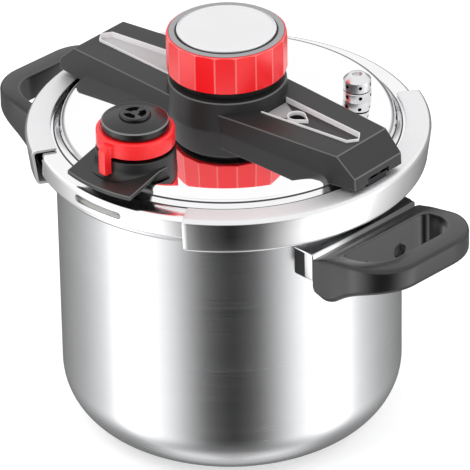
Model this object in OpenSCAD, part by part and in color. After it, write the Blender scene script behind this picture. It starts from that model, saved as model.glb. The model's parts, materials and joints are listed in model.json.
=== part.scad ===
// Stovetop pressure canner with a clamp lid: two jaws under the lid arms grip the pot rim
// when the central knob is turned. Millimetres, +Z up, origin at the centre of the base.
// The knob turns the cam plate, whose two spiral slots push the slide bars and jaws apart.

/* [Pot] */
// Outer radius of the pot wall
pot_r = 111; // [100:0.5:122]
// Height of the lid's polished top face above the hob
lid_top_z = 210; // [180:1:240]
// Thickness of the pot wall
pot_wall = 1.5; // [1:0.1:2]
// Radius between the pot wall and the base
pot_corner_r = 37; // [30:0.5:38]
// Overhang of the pot's rolled rim past the wall
rim_overhang = 11; // [10.5:0.1:11.2]
// Inset of the flat base disc from the wall
base_inset = 25; // [22:0.5:28]
// Thickness of the steel cap and aluminium core under the pot floor
base_thick = 6; // [4:0.5:7]
// Thickness of the steel cap sheet
cap_sheet = 0.9; // [0.6:0.1:1.2]

/* [Lid] */
// Turn of the lid on the pot as it is set down, in degrees from the side handles
lid_turn = 4; // [-10:0.5:10]
// Overhang of the lid past the pot wall
lid_overhang = 13.9; // [13.6:0.1:14.1]
// Width of the lid's border outside its flat polished disc
lid_border = 17.3; // [16.5:0.1:18]
// Thickness of the lid sheet
lid_sheet = 1.6; // [1.2:0.1:1.8]
// Height of the lid's raised middle above the edge of its polished disc
lid_rise = 11.4; // [10:0.1:11.8]
// Radius of the shoulder round the polished disc
shoulder_r = 7; // [6:0.1:8]
// Height of the step between the polished disc and the lid's edge flange
lid_step = 3.5; // [3:0.1:4]
// Half angle of the gasket window in the lid skirt
window_half_angle = 9; // [6:0.5:11]
// Height of the gasket window
window_h = 5.2; // [4.6:0.1:5.6]
// Drop of the gasket window's middle below the lid's top face
window_drop = 10.4; // [10:0.1:11]

/* [Jaws] */
// Half angle of each jaw's arc
jaw_half_angle = 61.5; // [50:0.5:64]
// Thickness of the jaw sheet
jaw_sheet = 1.8; // [1.4:0.1:1.9]
// Width of the jaws' flange that lies over the lid's edge
jaw_over = 11.4; // [10:0.1:12]
// Reach of the jaws past the lid's edge
jaw_past = 5; // [4.6:0.1:6]
// Gap between the pot wall and the lip hooked under the rim
jaw_lip_gap = 7.5; // [7:0.1:8.5]
// Travel of each jaw from shut to open
jaw_travel = 12; // [11:0.5:12]
// Knob turn from shut to open, in degrees
knob_turn = 90; // [80:1:90]

/* [Arms] */
// Reach of an arm past the lid's edge
arm_past = 0.4; // [0:0.1:2]
// Half width of an arm at the centre line of the hub
arm_half_hub = 34.5; // [32:0.5:35]
// Half width of an arm at its end
arm_half_end = 22.6; // [21:0.1:25]
// Thickness of the hub's wall round the cam plate, at its top
hub_wall = 4; // [3:0.1:6]
// Flare of the hub from its top to its foot
hub_flare = 1.8; // [0:0.1:3]
// Height of the hub above the lid
hub_h = 31.3; // [30:0.1:32]

/* [Knob] */
// Radius of the knob's grip across its flats
knob_r = 38; // [37.5:0.1:39]
// Height of the red grip
grip_h = 25.6; // [24:0.1:27]
// Number of flats round the grip
grip_flats = 18; // [14:1:24]
// Width of the knob's top outside its brushed disc
knob_border = 6.1; // [6:0.1:8]

/* [Valve] */
// Distance of the pressure valve in from the lid's edge
valve_inset = 37.9; // [37:0.1:39]
// Radius of the valve base
valve_base_r = 25.5; // [25:0.1:26]
// Radius of the selector ring
selector_r = 24.9; // [24:0.1:25]
// Radius of the valve cap
valve_cap_r = 21.4; // [20:0.1:22]
// Angle of the safety valve on the lid, in degrees
safety_angle = 48.4; // [46:0.1:56]
// Distance of the safety valve in from the lid's edge
safety_inset = 41.5; // [39:0.1:42]
// Radius of the safety valve
safety_r = 9; // [8.5:0.1:9.5]
// Distance of the pressure indicator pin from the centre
float_offset = 58; // [56:0.5:60]

/* [Handles] */
// Gap between the pot wall and the flat back of a side handle
handle_gap = 10; // [9:0.1:11]
// Length of a side handle from its flat back to its tip
handle_length = 61; // [52:0.5:68]
// Half width of a side handle
handle_half_w = 47.8; // [43:0.1:52]
// Radius of a side handle's outer corners
handle_corner_r = 29.8; // [26:0.1:32]
// Drop of a side handle's top edge at the pot below the lid's top face
handle_drop = 35.5; // [34:0.5:37]
// Rise of a side handle's top edge from the pot to the tip
handle_rise = 10; // [8:0.5:12]
// Thickness of a side handle between the pot and the finger opening
grip_wall_in = 15.8; // [14:0.1:18]
// Thickness of a side handle outside the finger opening
grip_wall_out = 14.3; // [12:0.1:16]
// Width of a side handle's sides beside the finger opening
grip_wall_side = 10.2; // [9:0.1:12]
// Radius of the finger opening's outer corners
grip_corner_r = 19.6; // [16:0.1:22]

/* [Hidden] */
$fn = 96;
slip = 0.05;
air = 0.3;
cut = 0.01;
tall = 400;

pot_rim_r = pot_r + rim_overhang;
rim_top_z = lid_top_z - 17.7;
rim_curl_r = 2.4;
base_r = pot_r - base_inset;
flange_top = lid_top_z - lid_step;
flange_under = flange_top - lid_sheet;
skirt_foot = lid_top_z - 17.2;
lid_edge_r = 3.4;
lid_r = pot_r + lid_overhang;
lid_flat_r = lid_r - lid_border;
step_r = lid_flat_r + 4.2;
dome_r = 36;
crown_top = lid_top_z + lid_rise;
crown_under = crown_top - lid_sheet;
shoulder_x = lid_flat_r - shoulder_r * cos(5);
shoulder_z = lid_top_z - shoulder_r * sin(5);
panel_end = shoulder_x + shoulder_r * sin(5);
panel_fall = (crown_top - shoulder_z - shoulder_r * cos(5)) / (panel_end - dome_r);
gasket_outer = lid_r - lid_sheet - slip;
gasket_heel = gasket_outer - 4.8;
gasket_top_in = step_r + 1.2;
gasket_lip_in = pot_r - 5;

jaw_top = flange_top + air + jaw_sheet;
jaw_under = jaw_top - jaw_sheet;
jaw_foot = lid_top_z - 25.9;
jaw_edge_r = 3.4;
jaw_inner_r = lid_r - jaw_over;
jaw_outer_r = lid_r + jaw_past;
jaw_foot_r = jaw_outer_r - 2.3;
jaw_lip_r = pot_r + jaw_lip_gap;

bar_z = crown_top + 0.6;
bar_low_z = lid_top_z + 0.4;
bar_drop_x = lid_flat_r - 7.6;
bar_thick = 2.5;
bar_half_w = 9;
bar_in = 11;
pin_start = 17;
pin_r = 2;
cam_z = bar_z + bar_thick + 0.4;
cam_thick = 3;
cam_r = pin_start + jaw_travel + pin_r + 3;
float_slot = 5;
sleeve_r = 8.5;
post_r = 5;
foot_in = jaw_inner_r + 0.7;
foot_out = foot_in + 9.5;
rivet_x = foot_in + 4.9;
rivet_y = 5;

hub_top = lid_top_z + hub_h;
hub_top_r = cam_r + hub_wall;
hub_foot_r = hub_top_r + hub_flare;
knob_foot = lid_top_z + 38;
grip_top = knob_foot + grip_h;
core_top = grip_top - 0.6;
core_r = knob_r - 3.8;
disc_r = knob_r - knob_border;
post_below = 7;
post_above = 8.6;
drive_z = lid_top_z + 36;
drive_w = 11;
drive_top = drive_z + 10;
nut_floor = drive_top + 2.2;

arm_top_hub = lid_top_z + 23.3;
arm_top_tip = lid_top_z + 22.3;
arm_reach = lid_r + arm_past;
arm_tip_x = arm_reach - 14;
arm_lift_x = arm_reach - 37.3;
trim_wall = 1.2;
trim_proud = 1;
trough_depth = 2.6;
trim_in = hub_top_r + 1;
trim_out = arm_tip_x - 2;
trim_half_in = 12.4;
trim_half_out = 6.5;
trim_point = 4.5;
screw_x = arm_reach - 55.3;
screw_y = 18;
screw_top = crown_top + 5.5;
screw_under = panel_z(norm([screw_x, screw_y]) + 4) - lid_sheet;

plate_z = lid_top_z + 2.2;
plate_top = lid_top_z + 5;
plate_thick = plate_top - plate_z;
plate_rise = 7;
plate_bend = 30;
valve_offset = lid_r - valve_inset;
safety_offset = lid_r - safety_inset;
valve_seat_r = 13;
safety_seat_r = safety_r + 0.8;
float_seat_r = 7.6;
float_z = panel_z(float_offset);
valve_z = panel_z(valve_offset);
safety_z = panel_z(safety_offset);
float_under = float_z - lid_sheet;
valve_under = valve_z - lid_sheet;
safety_under = safety_z - lid_sheet;
safety_split = safety_z + 7;
safety_roof = safety_z + 12.4;
safety_hole_turn = 3;
plate_reach = lid_r + 0.1;
plate_half_w = valve_base_r + 1;
drum_top = lid_top_z + 19;
ring_z = drum_top + 0.8;
ring_h = 11.8;
ring_bore = 14.3;
cap_z = ring_z + ring_h + air;
cap_h = 5.5;
fin_out = 31.5;
fin_w = 4;
fin_foot = plate_top + 5;
spring_wire = 0.7;

handle_back = pot_r + handle_gap;
handle_reach = handle_back + handle_length;
handle_base_top = lid_top_z - handle_drop;
handle_tip_top = handle_base_top + handle_rise;
grip_in = handle_back + grip_wall_in;
grip_out = handle_reach - grip_wall_out;
grip_half_w = handle_half_w - grip_wall_side;
handle_screw_z = handle_base_top - 13.5;
handle_screw_y = 15.5;
screw_r = 2.5;
screw_head_r = 4.7;
screw_head_x = handle_back + 6;
bracket_in = handle_back - 8;
bracket_low = handle_base_top - 16.2;
bracket_high = handle_base_top + 3;
bracket_half_w = handle_half_w - 1.3;
pad_low = bracket_low - 1.5;
pad_high = bracket_high + 1.5;
pad_half_w = bracket_half_w - 1.5;
pad_depth = bracket_in - pot_r + 19;
boss_r = 8;
boss_z = handle_base_top - 6.5;

// Distance from the centre at a share of a side handle's length.
function along(share) = handle_back + share * handle_length;

// Height of the lid's polished top at a distance from the centre, inside its shoulder.
function panel_z(x) = crown_top - max(0, x - dome_r) * panel_fall;

// Points along an arc in the section plane, from angle a to angle b.
function arc(x, z, r, a, b, n = 6) =
  [for (i = [0:n]) [x + r * cos(a + (b - a) * i / n), z + r * sin(a + (b - a) * i / n)]];

// Outline of a spiral slot: half width w round the path of a pin that moves out evenly.
function slot_r(t) = pin_start + jaw_travel * t;
function slot_lean(t) = atan2(jaw_travel / (knob_turn * PI / 180), slot_r(t));
function slot_side(t, w, side) =
  let (a = -knob_turn * t, n = a + side * 90 - 90 + slot_lean(t))
  [slot_r(t) * cos(a) + w * cos(n), slot_r(t) * sin(a) + w * sin(n)];
function slot_outline(w, n = 24) = concat(
  [for (i = [0:n]) slot_side(i / n, w, 1)],
  [for (i = [n:-1:0]) slot_side(i / n, w, -1)]);

// A ring section of revolution between two radii and two heights.
module tube(inner, outer, z0, z1) {
  translate([0, 0, z0])
    difference() {
      cylinder(r = outer, h = z1 - z0);
      translate([0, 0, -1])
        cylinder(r = inner, h = z1 - z0 + 2);
    }
}

// A plain round bar between two heights.
module rod(r, z0, z1) {
  translate([0, 0, z0])
    cylinder(r = r, h = z1 - z0);
}

// A hexagon nut with a round hole.
module hex_nut(across, hole, z0, z1) {
  difference() {
    translate([0, 0, z0])
      cylinder(r = across, h = z1 - z0, $fn = 6);
    rod(hole, z0 - 1, z1 + 1);
  }
}

// A wire spring standing between two heights.
module coil(r, wire, turns, z0, z1) {
  steps = 16;
  sides = 6;
  count = steps * turns;
  rise = z1 - z0 - wire;
  rings = [for (i = [0:count]) for (j = [0:sides - 1])
    let (a = 360 * i / steps, b = 360 * j / sides, q = r + wire / 2 * cos(b))
    [q * cos(a), q * sin(a), z0 + wire / 2 + rise * i / count + wire / 2 * sin(b)]];
  walls = [for (i = [0:count - 1]) for (j = [0:sides - 1])
    let (k = (j + 1) % sides)
    [i * sides + j, i * sides + k, (i + 1) * sides + k, (i + 1) * sides + j]];
  start = [for (j = [sides - 1:-1:0]) j];
  finish = [for (j = [0:sides - 1]) count * sides + j];
  polyhedron(points = rings, faces = concat(walls, [start, finish]), convexity = 8);
}

// Places children for the left side as the right side turned half round.
module left_side() {
  rotate([0, 0, 180])
    children();
}

// Places children for the lid, which is set down a little turned on the pot.
module on_lid() {
  rotate([0, 0, lid_turn])
    children();
}

module at_valve() {
  translate([0, -valve_offset, 0])
    children();
}

module at_safety() {
  rotate([0, 0, safety_angle])
    translate([safety_offset, 0, 0])
      children();
}

// Solid of the pot's outside, grown inwards by skin, above height low.
module pot_outside(skin, low, high) {
  rotate_extrude()
    intersection() {
      union() {
        translate([0, pot_corner_r])
          square([pot_r - skin, tall]);
        square([pot_r - pot_corner_r, pot_corner_r + cut]);
        translate([pot_r - pot_corner_r, pot_corner_r])
          circle(r = pot_corner_r - skin);
      }
      translate([0, low])
        square([tall, high - low]);
    }
}

module pot_body() {
  color([0.78, 0.79, 0.8])
    difference() {
      pot_outside(0, base_thick, rim_top_z);
      pot_outside(pot_wall, base_thick + pot_wall, tall);
    }
}

module pot_rim() {
  color([0.78, 0.79, 0.8])
    rotate_extrude()
      union() {
        translate([pot_r, rim_top_z - pot_wall])
          square([pot_rim_r - rim_curl_r - pot_r, pot_wall]);
        translate([pot_rim_r - rim_curl_r, rim_top_z - rim_curl_r - 0.1])
          circle(r = rim_curl_r);
      }
}

module base_core() {
  color([0.7, 0.7, 0.72])
    rod(base_r - 4, cap_sheet, base_thick);
}

module base_cap() {
  color([0.75, 0.76, 0.77])
    difference() {
      union() {
        intersection() {
          pot_outside(0, 0, base_thick);
          rod(pot_r, 2.8, base_thick);
        }
        rod(base_r, 0, 2.8);
      }
      rod(base_r - 4, cap_sheet, base_thick + 1);
    }
}

// Round bars along X at both screw places of a side handle.
module screw_bars(r, x0, x1) {
  for (side = [-1, 1])
    translate([x0, side * handle_screw_y, handle_screw_z])
      rotate([0, 90, 0])
        cylinder(r = r, h = x1 - x0);
}

// The boss that reaches from the bracket through the pad to the pot wall.
module weld_boss(r) {
  difference() {
    translate([bracket_in - pad_depth, 0, boss_z])
      rotate([0, 90, 0])
        cylinder(r = r, h = pad_depth);
    rod(pot_r, 0, tall);
  }
}

module bracket() {
  color([0.85, 0.85, 0.86])
    difference() {
      union() {
        translate([bracket_in, -bracket_half_w, bracket_low])
          cube([handle_back - bracket_in, 2 * bracket_half_w, bracket_high - bracket_low]);
        weld_boss(boss_r);
      }
      screw_bars(screw_r + slip, pot_r, tall);
    }
}

module bracket_right() {
  bracket();
}

module bracket_left() {
  left_side() bracket();
}

module pad() {
  color([0.06, 0.06, 0.06])
    difference() {
      translate([bracket_in - pad_depth, -pad_half_w, pad_low])
        cube([pad_depth, 2 * pad_half_w, pad_high - pad_low]);
      rod(pot_r, 0, tall);
      screw_bars(screw_r + slip, bracket_in - pad_depth - 1, tall);
      translate([bracket_in - pad_depth - 1, 0, boss_z])
        rotate([0, 90, 0])
          cylinder(r = boss_r + slip, h = pad_depth + 2);
    }
}

module pad_right() {
  pad();
}

module pad_left() {
  left_side() pad();
}

// Plan outline between x0 and x1, with its own corner radius at each end.
module rounded_plan(x0, x1, half_w, r0, r1) {
  translate([x0 + r0, -half_w])
    square([x1 - r1 - x0 - r0, 2 * half_w]);
  translate([x1 - r1 - cut, -half_w + r1])
    square([r1 + cut, 2 * (half_w - r1)]);
  translate([x0, -half_w + r0])
    square([r0 + cut, 2 * (half_w - r0)]);
  for (side = [-1, 1]) {
    translate([x1 - r1, side * (half_w - r1)])
      circle(r = r1);
    translate([x0 + r0, side * (half_w - r0)])
      circle(r = r0);
  }
}

// Side view of a side handle: a deep root at the pot, rising and thinning to the tip.
module handle_profile() {
  top = handle_tip_top;
  low = handle_base_top - 16.5;
  polygon([
    [handle_back, low], [along(0.033), low - 3.5], [along(0.098), low - 6.5],
    [along(0.164), low - 7.7], [along(0.23), low - 7.7], [along(0.295), low - 6],
    [along(0.361), low - 3.2], [along(0.475), low + 1.5], [along(0.574), low + 4.8],
    [along(0.672), low + 7], [along(0.803), low + 9], [along(0.902), low + 10],
    [handle_reach, low + 10.6], [handle_reach, top], [along(0.721), top - 0.2],
    [along(0.557), top - 1.2], [along(0.393), top - 2.9], [along(0.23), top - 5.1],
    [along(0.098), top - 7.6], [handle_back, handle_base_top]]);
}

module handle() {
  color([0.13, 0.13, 0.13])
    difference() {
      intersection() {
        linear_extrude(tall)
          rounded_plan(handle_back, handle_reach, handle_half_w, 2, handle_corner_r);
        translate([0, tall / 2, 0])
          rotate([90, 0, 0])
            linear_extrude(tall)
              handle_profile();
      }
      linear_extrude(tall)
        rounded_plan(grip_in, grip_out, grip_half_w, 5, grip_corner_r);
      screw_bars(screw_r + slip, pot_r, grip_out);
      screw_bars(screw_head_r + 0.7, screw_head_x, grip_in + 1);
    }
}

module handle_right() {
  handle();
}

module handle_left() {
  left_side() handle();
}

module handle_screw_pair() {
  head_top = screw_head_x + 3.4;
  difference() {
    union() {
      screw_bars(screw_r, pot_r + air, screw_head_x + cut);
      screw_bars(screw_head_r, screw_head_x, head_top);
    }
    for (side = [-1, 1], turn = [0, 90])
      translate([head_top - 1.4, side * handle_screw_y, handle_screw_z])
        rotate([turn, 0, 0])
          translate([0, -3.5, -0.6])
            cube([3, 7, 1.2]);
  }
}

module handle_screws() {
  color([0.8, 0.8, 0.82]) {
    handle_screw_pair();
    left_side() handle_screw_pair();
  }
}

// Section of the lid sheet, outside run first and inside run back.
module lid_section() {
  polygon(concat(
    [[0, crown_top], [dome_r, crown_top]],
    arc(shoulder_x, shoulder_z, shoulder_r, 85, 5, 5),
    [[step_r, flange_top], [lid_r - lid_edge_r, flange_top]],
    arc(lid_r - lid_edge_r, flange_top - lid_edge_r, lid_edge_r, 75, 0, 5),
    [[lid_r, skirt_foot], [lid_r - lid_sheet, skirt_foot]],
    arc(lid_r - lid_edge_r, flange_top - lid_edge_r, lid_edge_r - lid_sheet, 0, 90, 4),
    [[step_r + 0.7, flange_under]],
    arc(shoulder_x, shoulder_z, shoulder_r - lid_sheet, -8, 85, 5),
    [[dome_r, crown_under], [0, crown_under]]));
}

// Everything below the lid's top face out to its flange, for parts that stand on the lid.
module below_lid() {
  translate([0, 0, slip])
    rotate_extrude()
      polygon(concat(
        [[0, 0], [0, crown_top], [dome_r, crown_top]],
        arc(shoulder_x, shoulder_z, shoulder_r, 85, 5, 5),
        [[step_r, flange_top], [lid_r, flange_top], [lid_r, 0]]));
}

// A flat seat pressed into the sloping lid for a fitting.
module seat(r, z) {
  rod(r, z - lid_sheet, z);
}

module seat_room(r, z) {
  rod(r, z, z + 5);
  rod(r, z - lid_sheet - 5, z - lid_sheet);
}

module at_float() {
  translate([float_offset, 0, 0])
    children();
}

module lid_shell() {
  on_lid()
    color([0.88, 0.88, 0.9])
      difference() {
        union() {
          difference() {
            rotate_extrude()
              lid_section();
            at_valve() seat_room(valve_seat_r, valve_z);
            at_safety() seat_room(safety_seat_r, safety_z);
            at_float() seat_room(float_seat_r, float_z);
          }
          at_valve() seat(valve_seat_r, valve_z);
          at_safety() seat(safety_seat_r, safety_z);
          at_float() seat(float_seat_r, float_z);
        }
        rod(post_r + slip, 0, tall);
        at_valve() rod(7 + slip, 0, tall);
        at_safety() rod(5 + slip, 0, tall);
        at_float() rod(4.5 + slip, 0, tall);
        for (x = [-screw_x, screw_x], y = [-screw_y, screw_y])
          translate([x, y, 0])
            rod(2 + slip, 0, tall);
        gasket_window();
      }
}

module gasket_window() {
  centre_z = lid_top_z - window_drop;
  turn = window_half_angle - 1.2;
  translate([0, 0, centre_z - window_h / 2])
    rotate_extrude(angle = 2 * turn, start = 270 - turn)
      translate([lid_r - 5, 0])
        square([10, window_h]);
  for (side = [-1, 1])
    rotate([0, 0, 270 + side * turn])
      translate([lid_r - 5, 0, centre_z])
        rotate([0, 90, 0])
          cylinder(r = window_h / 2 + 0.08, h = 10);
}

module gasket() {
  seat = rim_top_z + air;
  on_lid()
    color([0.55, 0.55, 0.53])
      rotate_extrude()
        polygon([
          [gasket_lip_in, seat + 1], [gasket_lip_in + 1, seat], [gasket_outer - 0.5, seat],
          [gasket_outer - 0.5, seat + 3.2], [gasket_heel, seat + 4],
          [gasket_heel, flange_under - 2.4], [gasket_outer - 2, flange_under - 1.6],
          [gasket_outer - 2, flange_under], [gasket_top_in, flange_under],
          [gasket_top_in - 0.8, flange_under - 1.2], [gasket_top_in, seat + 5.2],
          [gasket_lip_in + 1.2, seat + 2.4]]);
}

module centre_post() {
  on_lid()
    color([0.7, 0.71, 0.73]) {
      rod(post_r, crown_under - post_below, nut_floor + post_above);
      rod(9, crown_top, cam_z - air);
    }
}

module post_lid_nut() {
  on_lid()
    color([0.72, 0.73, 0.75])
      hex_nut(9, post_r + slip, crown_under - 5, crown_under);
}

module post_washer() {
  on_lid()
    color([0.75, 0.75, 0.77])
      tube(post_r + slip, 10, nut_floor + air, nut_floor + air + 1.5);
}

module post_nut() {
  on_lid()
    color([0.72, 0.73, 0.75])
      hex_nut(9, post_r + slip, nut_floor + air + 1.5, nut_floor + air + 6.5);
}

// Section of a jaw: upper flange, skirt and the lip turned in under the rim.
module jaw_section() {
  lean = jaw_outer_r - jaw_foot_r;
  polygon(concat(
    [[jaw_inner_r, jaw_top], [jaw_outer_r - jaw_edge_r, jaw_top]],
    arc(jaw_outer_r - jaw_edge_r, jaw_top - jaw_edge_r, jaw_edge_r, 75, 0, 5),
    arc(jaw_foot_r - jaw_edge_r, jaw_foot + jaw_edge_r, jaw_edge_r, 0, -90, 6),
    [[jaw_lip_r, jaw_foot], [jaw_lip_r, jaw_foot + jaw_sheet]],
    arc(jaw_foot_r - jaw_edge_r, jaw_foot + jaw_edge_r, jaw_edge_r - jaw_sheet, -90, 0, 4),
    [[jaw_outer_r - jaw_sheet - lean * 0.1, jaw_under - jaw_edge_r]],
    [[jaw_outer_r - jaw_edge_r, jaw_under], [jaw_inner_r, jaw_under]]));
}

module jaw() {
  color([0.84, 0.84, 0.86])
    difference() {
      rotate_extrude(angle = 2 * jaw_half_angle, start = -jaw_half_angle)
        jaw_section();
      for (side = [-1, 1])
        translate([rivet_x, side * rivet_y, 0])
          rod(1.8 + slip, jaw_under - 1, jaw_top + 1);
    }
}

module jaw_right() {
  on_lid() jaw();
}

module jaw_left() {
  on_lid() left_side() jaw();
}

// Side view of a slide bar: level over the raised lid, then down to the jaw.
module bar_profile() {
  polygon([
    [bar_in, bar_z], [bar_drop_x, bar_z], [bar_drop_x + 10, bar_low_z], [foot_in, bar_low_z],
    [foot_in, jaw_top], [foot_out, jaw_top], [foot_out, bar_low_z + bar_thick],
    [bar_drop_x + 12.2, bar_low_z + bar_thick], [bar_drop_x + 2, bar_z + bar_thick],
    [bar_in, bar_z + bar_thick]]);
}

module slide_bar() {
  color([0.66, 0.67, 0.69])
    difference() {
      translate([0, bar_half_w, 0])
        rotate([90, 0, 0])
          linear_extrude(2 * bar_half_w)
            bar_profile();
      translate([pin_start, 0, 0]) {
        rod(pin_r + slip, 0, tall);
        rod(3.4 + slip, bar_z - 1, bar_z + 1);
      }
      translate([float_offset - jaw_travel - float_slot, -float_slot, bar_z - 1])
        cube([jaw_travel + 2 * float_slot, 2 * float_slot, bar_thick + 2]);
      for (side = [-1, 1])
        translate([rivet_x, side * rivet_y, 0])
          rod(1.8 + slip, 0, tall);
    }
}

module slide_bar_right() {
  on_lid() slide_bar();
}

module slide_bar_left() {
  on_lid() left_side() slide_bar();
}

module cam_pin() {
  color([0.5, 0.5, 0.52])
    translate([pin_start, 0, 0]) {
      rod(pin_r, bar_z, cam_z + cam_thick - 0.3);
      rod(3.4, bar_z, bar_z + 1);
    }
}

module cam_pin_right() {
  on_lid() cam_pin();
}

module cam_pin_left() {
  on_lid() left_side() cam_pin();
}

module jaw_rivet_pair() {
  color([0.6, 0.6, 0.62])
    for (side = [-1, 1])
      translate([rivet_x, side * rivet_y, 0]) {
        rod(1.8, jaw_under, bar_low_z + bar_thick + cut);
        rod(3.2, bar_low_z + bar_thick, bar_low_z + bar_thick + 1);
      }
}

module jaw_rivets_right() {
  on_lid() jaw_rivet_pair();
}

module jaw_rivets_left() {
  on_lid() left_side() jaw_rivet_pair();
}

module cam_slot() {
  linear_extrude(cam_thick + 2)
    polygon(slot_outline(pin_r + air));
  for (t = [0, 1])
    rotate([0, 0, -knob_turn * t])
      translate([slot_r(t), 0, 0])
        cylinder(r = pin_r + air, h = cam_thick + 2);
}

module cam_plate() {
  on_lid()
    color([0.6, 0.61, 0.63])
      difference() {
        union() {
          rod(cam_r, cam_z, cam_z + cam_thick);
          rod(sleeve_r, cam_z, drive_z);
          translate([-drive_w / 2, -drive_w / 2, drive_z - cut])
            cube([drive_w, drive_w, drive_top - drive_z + cut]);
        }
        rod(post_r + slip, 0, tall);
        for (turn = [0, 180])
          rotate([0, 0, turn])
            translate([0, 0, cam_z - 1])
              cam_slot();
      }
}

// Side view of both arms, from the centre out to the end of one arm.
module arm_profile() {
  polygon([
    [-cut, lid_top_z], [arm_lift_x, lid_top_z], [arm_reach, lid_top_z + 2],
    [arm_reach - 0.5, lid_top_z + 10], [arm_tip_x, arm_top_tip],
    [hub_top_r, arm_top_hub], [-cut, arm_top_hub]]);
}

module arm_solid() {
  intersection() {
    linear_extrude(tall)
      polygon([
        [0, -arm_half_hub], [arm_tip_x, -arm_half_end - 1.3], [arm_reach, -arm_half_end],
        [arm_reach, arm_half_end], [arm_tip_x, arm_half_end + 1.3], [0, arm_half_hub]]);
    translate([0, 100, 0])
      rotate([90, 0, 0])
        linear_extrude(200)
          arm_profile();
  }
}

// The trim's outline in plan, inset all round, from the hub to the pointed tip.
module trim_plan(inset) {
  half_in = trim_half_in - inset;
  half_out = trim_half_out - inset;
  polygon([
    [trim_in + inset, -half_in], [trim_out - trim_point - inset / 2, -half_out],
    [trim_out - inset, 0], [trim_out - trim_point - inset / 2, half_out],
    [trim_in + inset, half_in]]);
}

module trim_slab(inset, below, above) {
  translate([0, 0, arm_top_tip - below])
    linear_extrude(below + above)
      trim_plan(inset);
}

// The bright tray let into the top of an arm.
module arm_trim() {
  difference() {
    trim_slab(slip, trough_depth, arm_top_hub - arm_top_tip + trim_proud);
    trim_slab(trim_wall, trough_depth - trim_wall, 20);
  }
}

// Side view of the channel in which a slide bar runs, clear of it from shut to open.
module channel_profile() {
  roof = bar_z + bar_thick + 0.9;
  bend = bar_drop_x + jaw_travel + 3.5;
  polygon([
    [-cut, 0], [bend + 40, 0], [bend + 40, bar_low_z + 3.6], [bend + 11, bar_low_z + 4.1],
    [bend, roof], [-cut, roof]]);
}

module channel() {
  translate([0, bar_half_w + 1, 0])
    rotate([90, 0, 0])
      linear_extrude(2 * bar_half_w + 2)
        channel_profile();
}

module bridge_housing() {
  on_lid()
    color([0.12, 0.12, 0.12])
      difference() {
        union() {
          translate([0, 0, lid_top_z])
            cylinder(r1 = hub_foot_r, r2 = hub_top_r, h = hub_h);
          arm_solid();
          left_side() arm_solid();
        }
        rod(sleeve_r + air, 0, tall);
        below_lid();
        rod(cam_r + 1, 0, cam_z + cam_thick + 0.7);
        for (side = [0, 180])
          rotate([0, 0, side]) {
            channel();
            trim_slab(0, trough_depth, 20);
          }
        at_float() rod(4, 0, tall);
        for (x = [-screw_x, screw_x], y = [-screw_y, screw_y])
          translate([x, y, 0])
            rod(2 + slip, 0, screw_top + 0.5);
      }
}

module arm_trim_right() {
  on_lid()
    color([0.82, 0.82, 0.84])
      difference() {
        arm_trim();
        at_float() rod(4, 0, tall);
      }
}

module arm_trim_left() {
  on_lid()
    color([0.82, 0.82, 0.84])
      left_side()
        arm_trim();
}

module bridge_screws() {
  on_lid()
    color([0.7, 0.7, 0.72])
      for (x = [-screw_x, screw_x], y = [-screw_y, screw_y])
        translate([x, y, 0]) {
          rod(2, screw_under - 1, screw_top);
          rod(3.8, screw_under - 2.4, screw_under);
        }
}

module knob_core() {
  on_lid()
    color([0.1, 0.1, 0.1])
      difference() {
        union() {
          rod(knob_r - 5, hub_top + air, knob_foot - 1.2);
          rod(knob_r - 2, knob_foot - 1.2, knob_foot);
          rod(core_r, knob_foot - cut, core_top);
        }
        rod(sleeve_r + slip, 0, drive_z);
        translate([-drive_w / 2 - slip, -drive_w / 2 - slip, 0])
          cube([drive_w + 2 * slip, drive_w + 2 * slip, nut_floor + 1]);
        rod(knob_r - 10, nut_floor, core_top - 3);
        rod(12, nut_floor, core_top + 1);
      }
}

module knob_grip() {
  half = 180 / grip_flats;
  corner_r = knob_r / cos(half);
  on_lid()
    color([0.9, 0.12, 0.12])
      difference() {
        intersection() {
          translate([0, 0, knob_foot])
            linear_extrude(grip_h)
              polygon([for (i = [0:grip_flats - 1])
                [corner_r * cos(i * 2 * half), corner_r * sin(i * 2 * half)]]);
          rotate_extrude()
            polygon([
              [0, knob_foot], [knob_r - 0.6, knob_foot], [corner_r + 0.3, knob_foot + 2.4],
              [corner_r + 0.3, grip_top - 2.2], [knob_r - 1.4, grip_top], [0, grip_top]]);
        }
        rod(core_r + slip, 0, tall);
      }
}

module knob_ring() {
  on_lid()
    color([0.6, 0.6, 0.6])
      tube(disc_r + 1.1, knob_r - 1, grip_top, grip_top + 0.7);
}

module knob_disc() {
  on_lid()
    color([0.9, 0.9, 0.9]) {
      rod(disc_r, core_top, grip_top + 1.8);
      translate([0, 0, grip_top + 1.8 - cut])
        cylinder(r1 = disc_r - 0.6, r2 = disc_r - 1.4, h = 0.5);
    }
}

// The sloping plate in front of the valve, with its top at the same place at any depth.
module plate_wedge(half_w, depth) {
  low = max(0, plate_top - depth);
  high = max(0, plate_top + plate_rise - depth);
  bend = plate_reach - plate_bend;
  translate([-half_w, 0, 0])
    rotate([90, 0, 90])
      linear_extrude(2 * half_w)
        polygon([
          [-plate_reach, low], [-plate_reach, plate_top], [-bend, plate_top + plate_rise],
          [-valve_offset, plate_top + plate_rise], [-valve_offset, high], [-bend, high]]);
}

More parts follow.
